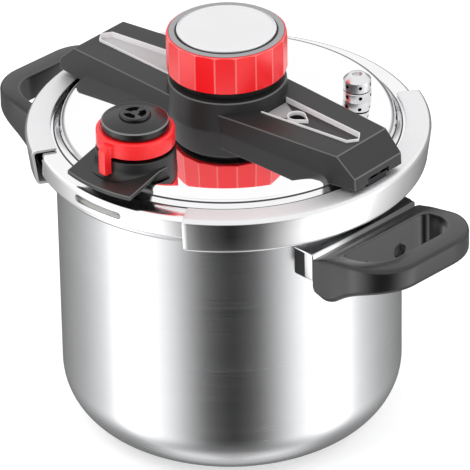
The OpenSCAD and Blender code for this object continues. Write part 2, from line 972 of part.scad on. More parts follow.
module valve_base() {
  on_lid()
    color([0.13, 0.13, 0.13])
      difference() {
        union() {
          at_valve() {
            rod(valve_base_r, lid_top_z, drum_top);
            rod(18, drum_top - cut, drum_top + 0.5);
            rod(ring_bore - air, drum_top, cap_z);
          }
          intersection() {
            rod(plate_reach, lid_top_z, tall);
            plate_wedge(plate_half_w, plate_thick);
          }
          intersection() {
            rod(plate_reach - 7, flange_top + air, tall);
            plate_wedge(plate_half_w - 7, tall);
          }
        }
        below_lid();
        at_valve() {
          rod(8, 0, tall);
          rod(11.3, 0, valve_z + 1.8);
          rod(valve_seat_r + air, 0, valve_z + slip);
        }
      }
}

module valve_tube() {
  on_lid()
    color([0.72, 0.72, 0.74])
      at_valve()
        difference() {
          union() {
            rod(7, valve_under - 6.4, valve_z + 1);
            rod(11, valve_z, valve_z + 1.5);
            rod(7.7, valve_z + 1.5 - cut, drum_top + 7);
          }
          rod(3, 0, tall);
          rod(5, valve_z + 3, tall);
        }
}

module valve_seal() {
  on_lid()
    color([0.6, 0.6, 0.58])
      at_valve()
        tube(7 + slip, 11, valve_under - 1, valve_under);
}

module valve_nut() {
  on_lid()
    color([0.72, 0.72, 0.74])
      at_valve()
        hex_nut(12, 7 + slip, valve_under - 5.6, valve_under - 1);
}

module valve_piston() {
  on_lid()
    color([0.65, 0.65, 0.67])
      at_valve() {
        rod(4.6, valve_z + 3.2, valve_z + 11);
        rod(2.6, valve_z - 1, valve_z + 3.2 + cut);
      }
}

module valve_spring() {
  on_lid()
    color([0.6, 0.6, 0.62])
      at_valve()
        coil(4, spring_wire, 6, valve_z + 11, cap_z);
}

module selector_ring() {
  on_lid()
    color([0.9, 0.12, 0.12])
      at_valve()
        difference() {
          union() {
            rod(selector_r, ring_z, ring_z + ring_h);
            translate([-fin_w / 2, -fin_out, fin_foot])
              cube([fin_w, fin_out - valve_base_r - 0.5, ring_z + ring_h - 2.5 - fin_foot]);
            translate([-fin_w / 2, -fin_out, ring_z])
              cube([fin_w, fin_out - ring_bore - 4, ring_h - 2.5]);
          }
          rod(ring_bore, 0, tall);
        }
}

module valve_cap() {
  on_lid()
    color([0.11, 0.11, 0.11])
      at_valve()
        difference() {
          rotate_extrude()
            polygon([
              [0, cap_z], [valve_cap_r, cap_z], [valve_cap_r, cap_z + cap_h - 0.6],
              [valve_cap_r - 0.6, cap_z + cap_h], [14, cap_z + cap_h + 1.8],
              [9.5, cap_z + cap_h + 2.3], [9.5, cap_z + cap_h + 3.1],
              [8.5, cap_z + cap_h + 3.6], [0, cap_z + cap_h + 3.9]]);
          for (turn = [30, 150, 270])
            rotate([0, 0, turn])
              translate([0, 0, cap_z + cap_h + 1.6])
                rotate_extrude(angle = 84, start = -42)
                  translate([2.6, 0])
                    square([4.6, 5]);
        }
}

module float_bush() {
  on_lid()
    color([0.5, 0.5, 0.5])
      at_float()
        difference() {
          union() {
            rod(4.5, float_under - 1, float_z);
            rod(7, float_under - 1.5, float_under);
          }
          rod(2.3, 0, tall);
          rod(3.2, float_under + 0.2, tall);
        }
}

module float_pin() {
  on_lid()
    color([0.8, 0.1, 0.1])
      at_float() {
        rod(2, float_under - 8.4, float_under + 0.6);
        rod(2.9, float_under + 0.3, float_z);
        rod(4.5, float_under - 8.4, float_under - 7.2);
      }
}

module safety_body() {
  on_lid()
    color([0.8, 0.8, 0.82])
      at_safety()
        difference() {
          union() {
            rod(5, safety_under - 6, safety_z + 1);
            rod(safety_r, safety_z, safety_split - 0.3);
            rod(safety_r - 1.4, safety_split - 0.3 - cut, safety_split);
            rod(6, safety_split - cut, safety_roof - 0.4);
          }
          rod(1.5, 0, tall);
          rod(2.8, safety_z + 1, tall);
          translate([0, 0, safety_z + 3.9])
            for (turn = [0:60:300])
              rotate([0, 90, turn + safety_hole_turn])
                translate([0, 0, safety_r - 3])
                  cylinder(r = 1.2, h = 6);
        }
}

module safety_crown() {
  top = safety_z + 17.4;
  outer = safety_r - 0.1;
  on_lid()
    color([0.82, 0.82, 0.84])
      at_safety()
        difference() {
          rotate_extrude()
            polygon([
              [0, safety_roof], [6 + slip, safety_roof], [6 + slip, safety_split],
              [outer, safety_split], [outer, top - 2.6], [outer - 3.4, top],
              [3.2, top], [3.2, top - 1.6], [0, top - 1.6]]);
          for (turn = [30, 150, 270])
            rotate([0, 0, turn])
              translate([3, -1.2, top - 1.5])
                cube([4, 2.4, 10]);
          for (turn = [0:60:300])
            rotate([0, 0, turn + safety_hole_turn])
              translate([safety_r - 2.2, 0, safety_z + 11.3])
                rotate([0, 90, 0])
                  cylinder(r = 1.2, h = 6);
        }
}

module safety_seal() {
  on_lid()
    color([0.6, 0.6, 0.58])
      at_safety()
        tube(5 + slip, 8, safety_under - 1, safety_under);
}

module safety_nut() {
  on_lid()
    color([0.72, 0.72, 0.74])
      at_safety()
        hex_nut(8.6, 5 + slip, safety_under - 5, safety_under - 1);
}

module safety_plunger() {
  on_lid()
    color([0.6, 0.6, 0.6])
      at_safety() {
        rod(2.45, safety_z + 1, safety_z + 3.4);
        rod(1.15, safety_z - 2, safety_z + 1 + cut);
      }
}

module safety_spring() {
  on_lid()
    color([0.6, 0.6, 0.62])
      at_safety()
        coil(2, spring_wire, 5, safety_z + 3.4, safety_roof);
}

pot_body();
pot_rim();
base_core();
base_cap();
bracket_right();
bracket_left();
pad_right();
pad_left();
handle_right();
handle_left();
handle_screws();
lid_shell();
gasket();
centre_post();
post_lid_nut();
post_washer();
post_nut();
jaw_right();
jaw_left();
slide_bar_right();
slide_bar_left();
cam_pin_right();
cam_pin_left();
jaw_rivets_right();
jaw_rivets_left();
cam_plate();
bridge_housing();
arm_trim_right();
arm_trim_left();
bridge_screws();
knob_core();
knob_grip();
knob_ring();
knob_disc();
valve_base();
valve_tube();
valve_seal();
valve_nut();
valve_piston();
valve_spring();
selector_ring();
valve_cap();
float_bush();
float_pin();
safety_body();
safety_crown();
safety_seal();
safety_nut();
safety_plunger();
safety_spring();
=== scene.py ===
"""The looks of a stovetop pressure canner with a clamp lid.

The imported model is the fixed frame. Each sub-assembly below is a class that reads its place from
that frame, models its pieces in millimetres and dresses them, and sets each piece riding on the
body that carries it. What stays inside keeps its solid and gets its own finish.
"""

from __future__ import annotations

import json
import logging
import math
from dataclasses import dataclass, field
from enum import Enum
from typing import Sequence

import bmesh
import bpy
from mathutils import Matrix, Vector

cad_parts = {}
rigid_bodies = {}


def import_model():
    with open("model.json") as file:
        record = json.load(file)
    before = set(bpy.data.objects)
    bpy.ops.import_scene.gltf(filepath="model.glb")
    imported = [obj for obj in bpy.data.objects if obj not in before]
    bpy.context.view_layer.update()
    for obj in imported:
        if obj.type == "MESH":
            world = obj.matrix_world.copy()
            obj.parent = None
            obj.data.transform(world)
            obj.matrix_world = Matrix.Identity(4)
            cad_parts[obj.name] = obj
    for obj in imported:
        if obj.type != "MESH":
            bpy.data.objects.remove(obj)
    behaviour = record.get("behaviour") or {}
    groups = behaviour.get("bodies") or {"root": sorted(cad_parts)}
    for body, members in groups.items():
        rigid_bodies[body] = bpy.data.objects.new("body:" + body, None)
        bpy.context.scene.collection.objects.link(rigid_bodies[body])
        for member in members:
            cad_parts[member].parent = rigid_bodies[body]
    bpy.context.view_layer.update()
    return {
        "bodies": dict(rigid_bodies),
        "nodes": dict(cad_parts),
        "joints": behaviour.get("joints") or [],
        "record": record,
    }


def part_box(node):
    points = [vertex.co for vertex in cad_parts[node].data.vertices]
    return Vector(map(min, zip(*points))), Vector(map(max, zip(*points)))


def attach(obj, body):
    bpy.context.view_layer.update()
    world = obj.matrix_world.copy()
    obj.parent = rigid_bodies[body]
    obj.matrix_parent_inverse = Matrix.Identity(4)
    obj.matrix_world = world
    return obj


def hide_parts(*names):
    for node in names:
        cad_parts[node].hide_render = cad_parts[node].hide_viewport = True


LOG = logging.getLogger("canner")
MM = 0.001
MERGE = 1e-4  # points of a solid nearer than this are one, in millimetres

# Stretches in a full turn: of most pieces, of the widest ones and of those on the pressure valve.
ROUND_STEPS = 192
FINE_STEPS = 256
VALVE_STEPS = 128

# Stretches in each corner of a side handle's loop, and in each round of its section.
LOOP_STEPS = 12
EDGE_STEPS = 5
# The handle's faces on these stretches take a painted highlight.
BEAD_STEPS = range(12, 15)  # the stretches of that section that lie on the opening's bead

# Heights well under and well over all that stands on the lid, for cutters that pass right through.
UNDER_LID = 150
OVER_LID = 260

# Brightness of the studio by the degrees away from the camera's side.
SIDE_LIGHT = (
    (0, 0.0), (18, 0.12), (30, 0.6), (45, 1.4), (60, 1.95), (75, 2.45), (85, 1.8), (92, 1.1),
    (105, 0.82), (120, 0.55), (140, 0.36), (160, 0.22), (180, 0.15),
)

MAX_FINISHES = 3  # material slots that every solid carries through the modifiers
SHARP_ANGLE = math.radians(33)

Solid = bmesh.types.BMesh
Point = tuple[float, float]
Corner = tuple[float, float, float]
Colour = tuple[float, float, float]


class Side(Enum):
    """The two ends of the canner, as a turn about its upright axis."""

    RIGHT = 0.0
    LEFT = math.pi

    @property
    def word(self) -> str:
        """The side's name in lower case."""
        return self.name.lower()


class Join(Enum):
    """How one solid acts on another."""

    ADD = "UNION"
    CUT = "DIFFERENCE"
    MEET = "INTERSECT"


class Grain(Enum):
    """The way a brushed or turned surface runs."""

    ROUND = "round the upright axis"
    STRAIGHT = "along the arms"


# --- Outlines and solids -------------------------------------------------------------------


def arc(x: float, y: float, radius: float, start: float, end: float, steps: int) -> list[Point]:
    """Points along an arc.

    Args:
        x: Centre's first coordinate.
        y: Centre's second coordinate.
        radius: Radius of the arc.
        start: First angle in degrees.
        end: Last angle in degrees.
        steps: Number of stretches.

    Returns:
        The points, both ends included.
    """
    turns = [math.radians(start + (end - start) * k / steps) for k in range(steps + 1)]
    return [(x + radius * math.cos(t), y + radius * math.sin(t)) for t in turns]


def rounded(corners: Sequence[Corner], steps: int = 6) -> list[Point]:
    """Rounds the corners of a closed outline.

    Args:
        corners: Corner points, each with the radius that rounds it.
        steps: Number of stretches in each round.

    Returns:
        The outline's points.
    """
    points: list[Point] = []
    for index, (x, y, radius) in enumerate(corners):
        here = Vector((x, y))
        before = (Vector(corners[index - 1][:2]) - here).normalized()
        after = (Vector(corners[(index + 1) % len(corners)][:2]) - here).normalized()
        half = before.angle(after) / 2
        if radius <= 0 or half > math.radians(89.5):
            points.append((x, y))
            continue
        centre = here + (before + after).normalized() * (radius / math.sin(half))
        first = here + before * (radius / math.tan(half)) - centre
        last = here + after * (radius / math.tan(half)) - centre
        turn = math.atan2(first.x * last.y - first.y * last.x, first.dot(last))
        begin = math.atan2(first.y, first.x)
        for k in range(steps + 1):
            angle = begin + turn * k / steps
            along, up = radius * math.cos(angle), radius * math.sin(angle)
            points.append((centre.x + along, centre.y + up))
    return points


def smooth_through(points: Sequence[Point], x: float) -> float:
    """Height of a smooth curve through a few points.

    Args:
        points: Points in order of their first coordinate.
        x: Where the height is wanted.

    Returns:
        The height there, eased between neighbours by a Catmull-Rom curve.
    """
    if x <= points[0][0]:
        return points[0][1]
    if x >= points[-1][0]:
        return points[-1][1]
    index = max(i for i in range(len(points) - 1) if points[i][0] <= x)
    (x1, y1), (x2, y2) = points[index], points[index + 1]
    x0, y0 = points[index - 1] if index else (2 * x1 - x2, 2 * y1 - y2)
    x3, y3 = points[index + 2] if index + 2 < len(points) else (2 * x2 - x1, 2 * y2 - y1)
    span = x2 - x1
    slope1 = (y2 - y0) / (x2 - x0) * span
    slope2 = (y3 - y1) / (x3 - x1) * span
    t = (x - x1) / span
    return (
        (2 * t**3 - 3 * t**2 + 1) * y1
        + (t**3 - 2 * t**2 + t) * slope1
        + (3 * t**2 - 2 * t**3) * y2
        + (t**3 - t**2) * slope2
    )


def outward(solid: Solid) -> Solid:
    """Merges doubles and points every face outwards.

    Args:
        solid: The solid, which is changed.

    Returns:
        The same solid.
    """
    bmesh.ops.remove_doubles(solid, verts=solid.verts, dist=MERGE)
    bmesh.ops.recalc_face_normals(solid, faces=solid.faces)
    return solid


def lathe(
    profile: Sequence[Point], steps: int = ROUND_STEPS, start: float = 0.0, sweep: float = 360.0
) -> Solid:
    """Turns a closed section about the upright axis.

    Args:
        profile: The section's points as radius and height.
        steps: Number of stretches in a full turn.
        start: First angle in degrees.
        sweep: Angle covered in degrees; 360 closes the ring.

    Returns:
        The closed solid.
    """
    solid = bmesh.new()
    closed = sweep >= 359.9
    count = steps if closed else max(2, round(steps * sweep / 360))
    rings = []
    for k in range(count if closed else count + 1):
        angle = math.radians(start + sweep * k / count)
        rings.append(
            [solid.verts.new((r * math.cos(angle), r * math.sin(angle), z)) for r, z in profile]
        )
    for k in range(count):
        here, there = rings[k], rings[(k + 1) % len(rings)]
        for j in range(len(profile)):
            i = (j + 1) % len(profile)
            if profile[j][0] < 1e-6 and profile[i][0] < 1e-6:
                continue
            solid.faces.new((here[j], there[j], there[i], here[i]))
    if not closed:
        solid.faces.new(rings[0])
        solid.faces.new(list(reversed(rings[-1])))
    bmesh.ops.remove_doubles(solid, verts=solid.verts, dist=1e-5)
    bmesh.ops.dissolve_degenerate(solid, edges=solid.edges, dist=1e-6)
    return outward(solid)


def prism(outline: Sequence[Point], low: float, high: float) -> Solid:
    """Raises a plan outline between two heights.

    Args:
        outline: The outline's points.
        low: Height of the lower face.
        high: Height of the upper face.

    Returns:
        The closed solid.
    """
    solid = bmesh.new()
    under = [solid.verts.new((x, y, low)) for x, y in outline]
    over = [solid.verts.new((x, y, high)) for x, y in outline]
    solid.faces.new(list(reversed(under)))
    solid.faces.new(over)
    for k in range(len(outline)):
        j = (k + 1) % len(outline)
        solid.faces.new((under[k], under[j], over[j], over[k]))
    return outward(solid)


def across(outline: Sequence[Point], half_width: float) -> Solid:
    """Raises a side-view outline both ways across the arms.

    Args:
        outline: Points as distance along X and height.
        half_width: Half of the width along Y.

    Returns:
        The closed solid.
    """
    solid = prism(outline, -half_width, half_width)
    solid.transform(Matrix.Rotation(math.radians(90), 4, "X"))
    return outward(solid)


def block(low: Sequence[float], high: Sequence[float]) -> Solid:
    """A square block between two corners, to be softened or used as a cutter."""
    (x0, y0, z0), (x1, y1, z1) = low, high
    return prism([(x0, y0), (x1, y0), (x1, y1), (x0, y1)], z0, z1)


def core(radius: float, low: float, high: float, steps: int = ROUND_STEPS) -> Solid:
    """A plain cylinder on the upright axis, used as a cutter.

    Args:
        radius: Its radius.
        low: Height of its foot.
        high: Height of its top.
        steps: Number of stretches round it.

    Returns:
        The closed solid.
    """
    return lathe([(0, low), (radius, low), (radius, high), (0, high)], steps)


def drill(radius: float, start: Vector, end: Vector, steps: int = 32) -> Solid:
    """A round bar between two points, used as a cutter or a shank.

    Args:
        radius: Radius of the bar.
        start: Middle of one end.
        end: Middle of the other end.
        steps: Number of stretches round it.

    Returns:
        The closed solid.
    """
    solid = bmesh.new()
    length = (end - start).length
    bmesh.ops.create_cone(
        solid, cap_ends=True, segments=steps, radius1=radius, radius2=radius, depth=length
    )
    turn = Vector((0, 0, 1)).rotation_difference(end - start).to_matrix().to_4x4()
    solid.transform(Matrix.Translation((start + end) / 2) @ turn)
    return outward(solid)


def soften(
    solid: Solid, width: float, steps: int = 3, angle: float = 25.0, index: int = 0
) -> Solid:
    """Rounds every edge sharper than an angle.

    Args:
        solid: The solid to soften.
        width: Width of the round.
        steps: Number of stretches across it.
        angle: Edges that turn by less than this, in degrees, are left alone.
        index: Material index that the rounds carry.

    Returns:
        The same solid.
    """
    limit = math.radians(angle)
    edges = [e for e in solid.edges if len(e.link_faces) == 2 and e.calc_face_angle(0) > limit]
    made = bmesh.ops.bevel(
        solid,
        geom=edges,
        offset=width,
        segments=steps,
        profile=0.5,
        affect="EDGES",
        clamp_overlap=True,
    )
    if index:
        for face in made["faces"]:
            face.material_index = index
    return outward(solid)


def loose_object(solid: Solid, name: str) -> bpy.types.Object:
    """Puts a solid into a new object and frees the bmesh.

    Args:
        solid: The solid; it is freed.
        name: Name of the object.

    Returns:
        The object, linked to the scene.
    """
    mesh = bpy.data.meshes.new(name)
    solid.to_mesh(mesh)
    solid.free()
    for _ in range(MAX_FINISHES):
        mesh.materials.append(None)
    holder = bpy.data.objects.new(name, mesh)
    bpy.context.scene.collection.objects.link(holder)
    return holder


def plain_mesh(holder: bpy.types.Object) -> Solid:
    """Evaluates an object with its modifiers, removes it and returns its mesh as a solid.

    Args:
        holder: The object; it is removed.

    Returns:
        The finished solid.
    """
    bpy.context.view_layer.update()
    result = bpy.data.objects.get(holder.name).evaluated_get(bpy.context.evaluated_depsgraph_get())
    mesh = bpy.data.meshes.new_from_object(result)
    solid = bmesh.new()
    solid.from_mesh(mesh)
    old = holder.data
    bpy.data.objects.remove(holder)
    bpy.data.meshes.remove(old)
    bpy.data.meshes.remove(mesh)
    return solid


def combine(base: Solid, tool: Solid, how: Join) -> Solid:
    """Adds a solid to another, cuts it out or keeps what both share.

    Args:
        base: The solid that is worked on.
        tool: The solid that works on it.
        how: Which of the three is done.

    Returns:
        The new solid. Both inputs are freed.
    """
    work, other = loose_object(base, "work"), loose_object(tool, "tool")
    step = work.modifiers.new("join", "BOOLEAN")
    step.operation = how.value
    step.solver = "EXACT"
    step.object = other
    result = plain_mesh(work)
    shape = other.data
    bpy.data.objects.remove(other)
    bpy.data.meshes.remove(shape)
    bmesh.ops.remove_doubles(result, verts=result.verts, dist=MERGE)
    return result


def together(*solids: Solid) -> Solid:
    """Puts several solids into one without joining their surfaces.

    Args:
        *solids: The solids; they are freed.

    Returns:
        One solid that holds them all.
    """
    whole = bmesh.new()
    for solid in solids:
        mesh = bpy.data.meshes.new("part")
        solid.to_mesh(mesh)
        solid.free()
        whole.from_mesh(mesh)
        bpy.data.meshes.remove(mesh)
    return whole


# --- Node graphs ---------------------------------------------------------------------------


class Graph:
    """A short hand for building node trees."""

    def __init__(self, tree: bpy.types.NodeTree) -> None:
        """Keeps the tree that nodes are added to."""
        self.tree = tree

    def add(self, kind: str, **settings: object) -> bpy.types.Node:
        """Adds a node.

        Args:
            kind: The node's type.
            **settings: Attributes set on the node.

        Returns:
            The node.
        """
        node = self.tree.nodes.new(kind)
        for name, value in settings.items():
            setattr(node, name, value)
        return node

    def feed(self, socket: bpy.types.NodeSocket, value: object) -> None:
        """Links an output to a socket, or sets the socket's plain value."""
        if isinstance(value, bpy.types.NodeSocket):
            self.tree.links.new(value, socket)
        else:
            socket.default_value = value

    def math(self, operation: str, *values: object) -> bpy.types.NodeSocket:
        """Works on one to three numbers.

        Args:
            operation: The Math node's operation.
            *values: Sockets or numbers.

        Returns:
            The result's socket.
        """
        node = self.add("ShaderNodeMath", operation=operation)
        for socket, value in zip(node.inputs, values):
            self.feed(socket, value)
        return node.outputs[0]

    def parts(self, vector: object) -> Sequence[bpy.types.NodeSocket]:
        """The three parts of a vector, each as a socket.

        Args:
            vector: The vector's socket.

        Returns:
            The sockets of x, y and z.
        """
        node = self.add("ShaderNodeSeparateXYZ")
        self.feed(node.inputs[0], vector)
        return node.outputs

    def between(self, share: object, first: object, second: object) -> bpy.types.NodeSocket:
        """Goes from one number to another.

        Args:
            share: How much of the second shows.
            first: A socket or a number.
            second: A socket or a number.

        Returns:
            The number's socket.
        """
        kept = self.math("MULTIPLY", first, self.math("SUBTRACT", 1.0, share))
        return self.math("ADD", kept, self.math("MULTIPLY", share, second))

    def relief(self, shader: bpy.types.Node, height: object, depth: float) -> None:
        """Gives a shader a fine relief.

        Args:
            shader: The principled shader.
            height: The relief's height, as a socket.
            depth: Its depth in metres.
        """
        bump = self.add("ShaderNodeBump")
        self.feed(bump.inputs["Distance"], depth)
        self.feed(bump.inputs["Height"], height)
        self.feed(shader.inputs["Normal"], bump.outputs["Normal"])

    def blend(self, share: object, first: object, second: object) -> bpy.types.NodeSocket:
        """Mixes two colours.

        Args:
            share: How much of the second shows.
            first: A socket or a colour with its alpha.
            second: A socket or a colour with its alpha.

        Returns:
            The mixed colour's socket.
        """
        node = self.add("ShaderNodeMix", data_type="RGBA", clamp_factor=True)
        self.feed(node.inputs[0], share)
        self.feed(node.inputs[6], first)
        self.feed(node.inputs[7], second)
        return node.outputs[2]

    def ease(
        self, value: object, low: float, high: float, first: float, last: float
    ) -> bpy.types.NodeSocket:
        """Maps a stretch of numbers smoothly onto another.

        Args:
            value: The number's socket.
            low: Start of the stretch.
            high: End of the stretch.
            first: Result at its start.
            last: Result at its end.

        Returns:
            The result's socket.
        """
        node = self.add("ShaderNodeMapRange", interpolation_type="SMOOTHSTEP")
        for socket, number in zip(node.inputs, (value, low, high, first, last)):
            self.feed(socket, number)
        return node.outputs[0]

    def noise(
        self, vector: object, scale: float, detail: float = 2.0, roughness: float = 0.5
    ) -> bpy.types.NodeSocket:
        """Noise on a vector.

        Args:
            vector: The vector's socket.
            scale: Number of waves in a metre, or in a unit of the vector.
            detail: Layers of finer noise.
            roughness: Strength of the finer layers.

        Returns:
            The factor's socket.
        """
        node = self.add("ShaderNodeTexNoise")
        self.feed(node.inputs["Vector"], vector)
        self.feed(node.inputs["Scale"], scale)
        self.feed(node.inputs["Detail"], detail)
        self.feed(node.inputs["Roughness"], roughness)
        return node.outputs["Fac"]


def fresh_material(name: str) -> tuple[bpy.types.Material, Graph, bpy.types.Node]:
    """Starts a material.

    Args:
        name: The material's name.

    Returns:
        The material, its graph and its principled shader.
    """
    material = bpy.data.materials.new(name)
    material.use_nodes = True
    graph = Graph(material.node_tree)
    return material, graph, material.node_tree.nodes["Principled BSDF"]


def tinted(colour: Colour, gain: float) -> tuple[float, float, float, float]:
    """A colour made lighter or darker, with full alpha."""
    red, green, blue = (min(1.0, part * gain) for part in colour)
    return (red, green, blue, 1.0)


# --- Finishes ------------------------------------------------------------------------------


@dataclass(frozen=True)
class Metal:
    """Bare metal: brushed, turned or polished, with fine lines that follow its grain.

    The lines and clouds are measured in metres. Between two given places along Y, the metal goes
    over to a given share of its colour: painted shade that darkens one side of it.
    """

    name: str
    colour: Colour
    roughness: float
    grain: Grain = Grain.ROUND
    centre: tuple[float, float] = (0.0, 0.0)
    line_width: float = 0.0006
    line_depth: float = 0.000004
    cloud: float = 0.04
    cloud_scale: float = 28.0
    stretch: float = 0.02
    # Painted shade: between these two places along Y the colour darkens to the share below.
    shade_span: tuple[float, float] = (0.0, 0.0)
    shaded_share: float = 0.16

    def material(self) -> bpy.types.Material:
        """The finish as a material, made once for each name.

        Returns:
            The material.
        """
        if self.name in bpy.data.materials:
            return bpy.data.materials[self.name]
        material, graph, shader = fresh_material(self.name)
        lines = graph.noise(self._grain_vector(graph), 1.0, 3.0, 0.6)
        place = graph.add("ShaderNodeTexCoord").outputs["Object"]
        clouds = graph.noise(place, self.cloud_scale, 3.0)
        shade = graph.blend(
            clouds, tinted(self.colour, 1 - self.cloud), tinted(self.colour, 1 + self.cloud)
        )
        # Painted shade: along Y the colour goes over to a darker share of itself.
        if any(self.shade_span):
            share = graph.ease(graph.parts(place)[1], *self.shade_span, 0.0, 1.0)
            shade = graph.blend(share, shade, tinted(self.colour, self.shaded_share))
        graph.feed(shader.inputs["Base Color"], shade)
        graph.feed(shader.inputs["Metallic"], 1.0)
        spread = graph.math("MULTIPLY_ADD", lines, self.roughness * 0.5, self.roughness * 0.72)
        haze = graph.math("MULTIPLY", clouds, self.roughness * 0.12)
        graph.feed(shader.inputs["Roughness"], graph.math("ADD", spread, haze))
        graph.relief(shader, lines, self.line_depth)
        return material

    def _grain_vector(self, graph: Graph) -> bpy.types.NodeSocket:
        """The vector along which the fine lines are drawn out.

        Args:
            graph: The material's graph.

        Returns:
            The vector's socket.
        """
        place = graph.add("ShaderNodeTexCoord").outputs["Object"]
        shift = graph.add("ShaderNodeMapping")
        graph.feed(shift.inputs["Vector"], place)
        graph.feed(shift.inputs["Location"], (-self.centre[0], -self.centre[1], 0.0))
        x, y, z = graph.parts(shift.outputs[0])
        fine = 1.0 / self.line_width
        vector = graph.add("ShaderNodeCombineXYZ")
        if self.grain is Grain.ROUND:
            graph.feed(vector.inputs[0], graph.math("ARCTAN2", y, x))
            x_squared = graph.math("MULTIPLY", x, x)
            y_squared = graph.math("MULTIPLY", y, y)
            radius = graph.math("SQRT", graph.math("ADD", x_squared, y_squared))
            graph.feed(vector.inputs[1], graph.math("MULTIPLY", radius, fine))
            graph.feed(vector.inputs[2], graph.math("MULTIPLY", z, fine))
        else:
            graph.feed(vector.inputs[0], graph.math("MULTIPLY", x, fine * self.stretch))
            graph.feed(vector.inputs[1], graph.math("MULTIPLY", y, fine))
            graph.feed(vector.inputs[2], graph.math("MULTIPLY", z, fine))
        return vector.outputs[0]


@dataclass(frozen=True)
class Moulded:
    """Moulded plastic or rubber, with the fine grain of its tool and slightly uneven gloss."""

    name: str
    colour: Colour
    roughness: float
    gloss: float = 0.5
    grain_size: float = 0.0007
    grain_depth: float = 0.00002
    mottle: float = 0.10
    cloud_scale: float = 45.0
    specks: float = 0.35

    def material(self) -> bpy.types.Material:
        """The finish as a material, made once for each name.

        Returns:
            The material.
        """
        if self.name in bpy.data.materials:
            return bpy.data.materials[self.name]
        material, graph, shader = fresh_material(self.name)
        place = graph.add("ShaderNodeTexCoord").outputs["Object"]
        grain = graph.noise(place, 1.0 / self.grain_size, 3.0, 0.65)
        clouds = graph.noise(place, self.cloud_scale, 2.0)
        shade = graph.blend(
            clouds, tinted(self.colour, 1 - self.mottle), tinted(self.colour, 1 + self.mottle)
        )
        speck = graph.math("MULTIPLY", grain, self.specks)
        shade = graph.blend(speck, shade, tinted(self.colour, 1 + self.mottle))
        graph.feed(shader.inputs["Base Color"], shade)
        graph.feed(shader.inputs["Specular IOR Level"], self.gloss)
        rough = graph.math("MULTIPLY_ADD", grain, 0.16, self.roughness - 0.08)
        graph.feed(shader.inputs["Roughness"], rough)
        graph.relief(shader, grain, self.grain_depth)
        return material


Finish = Metal | Moulded


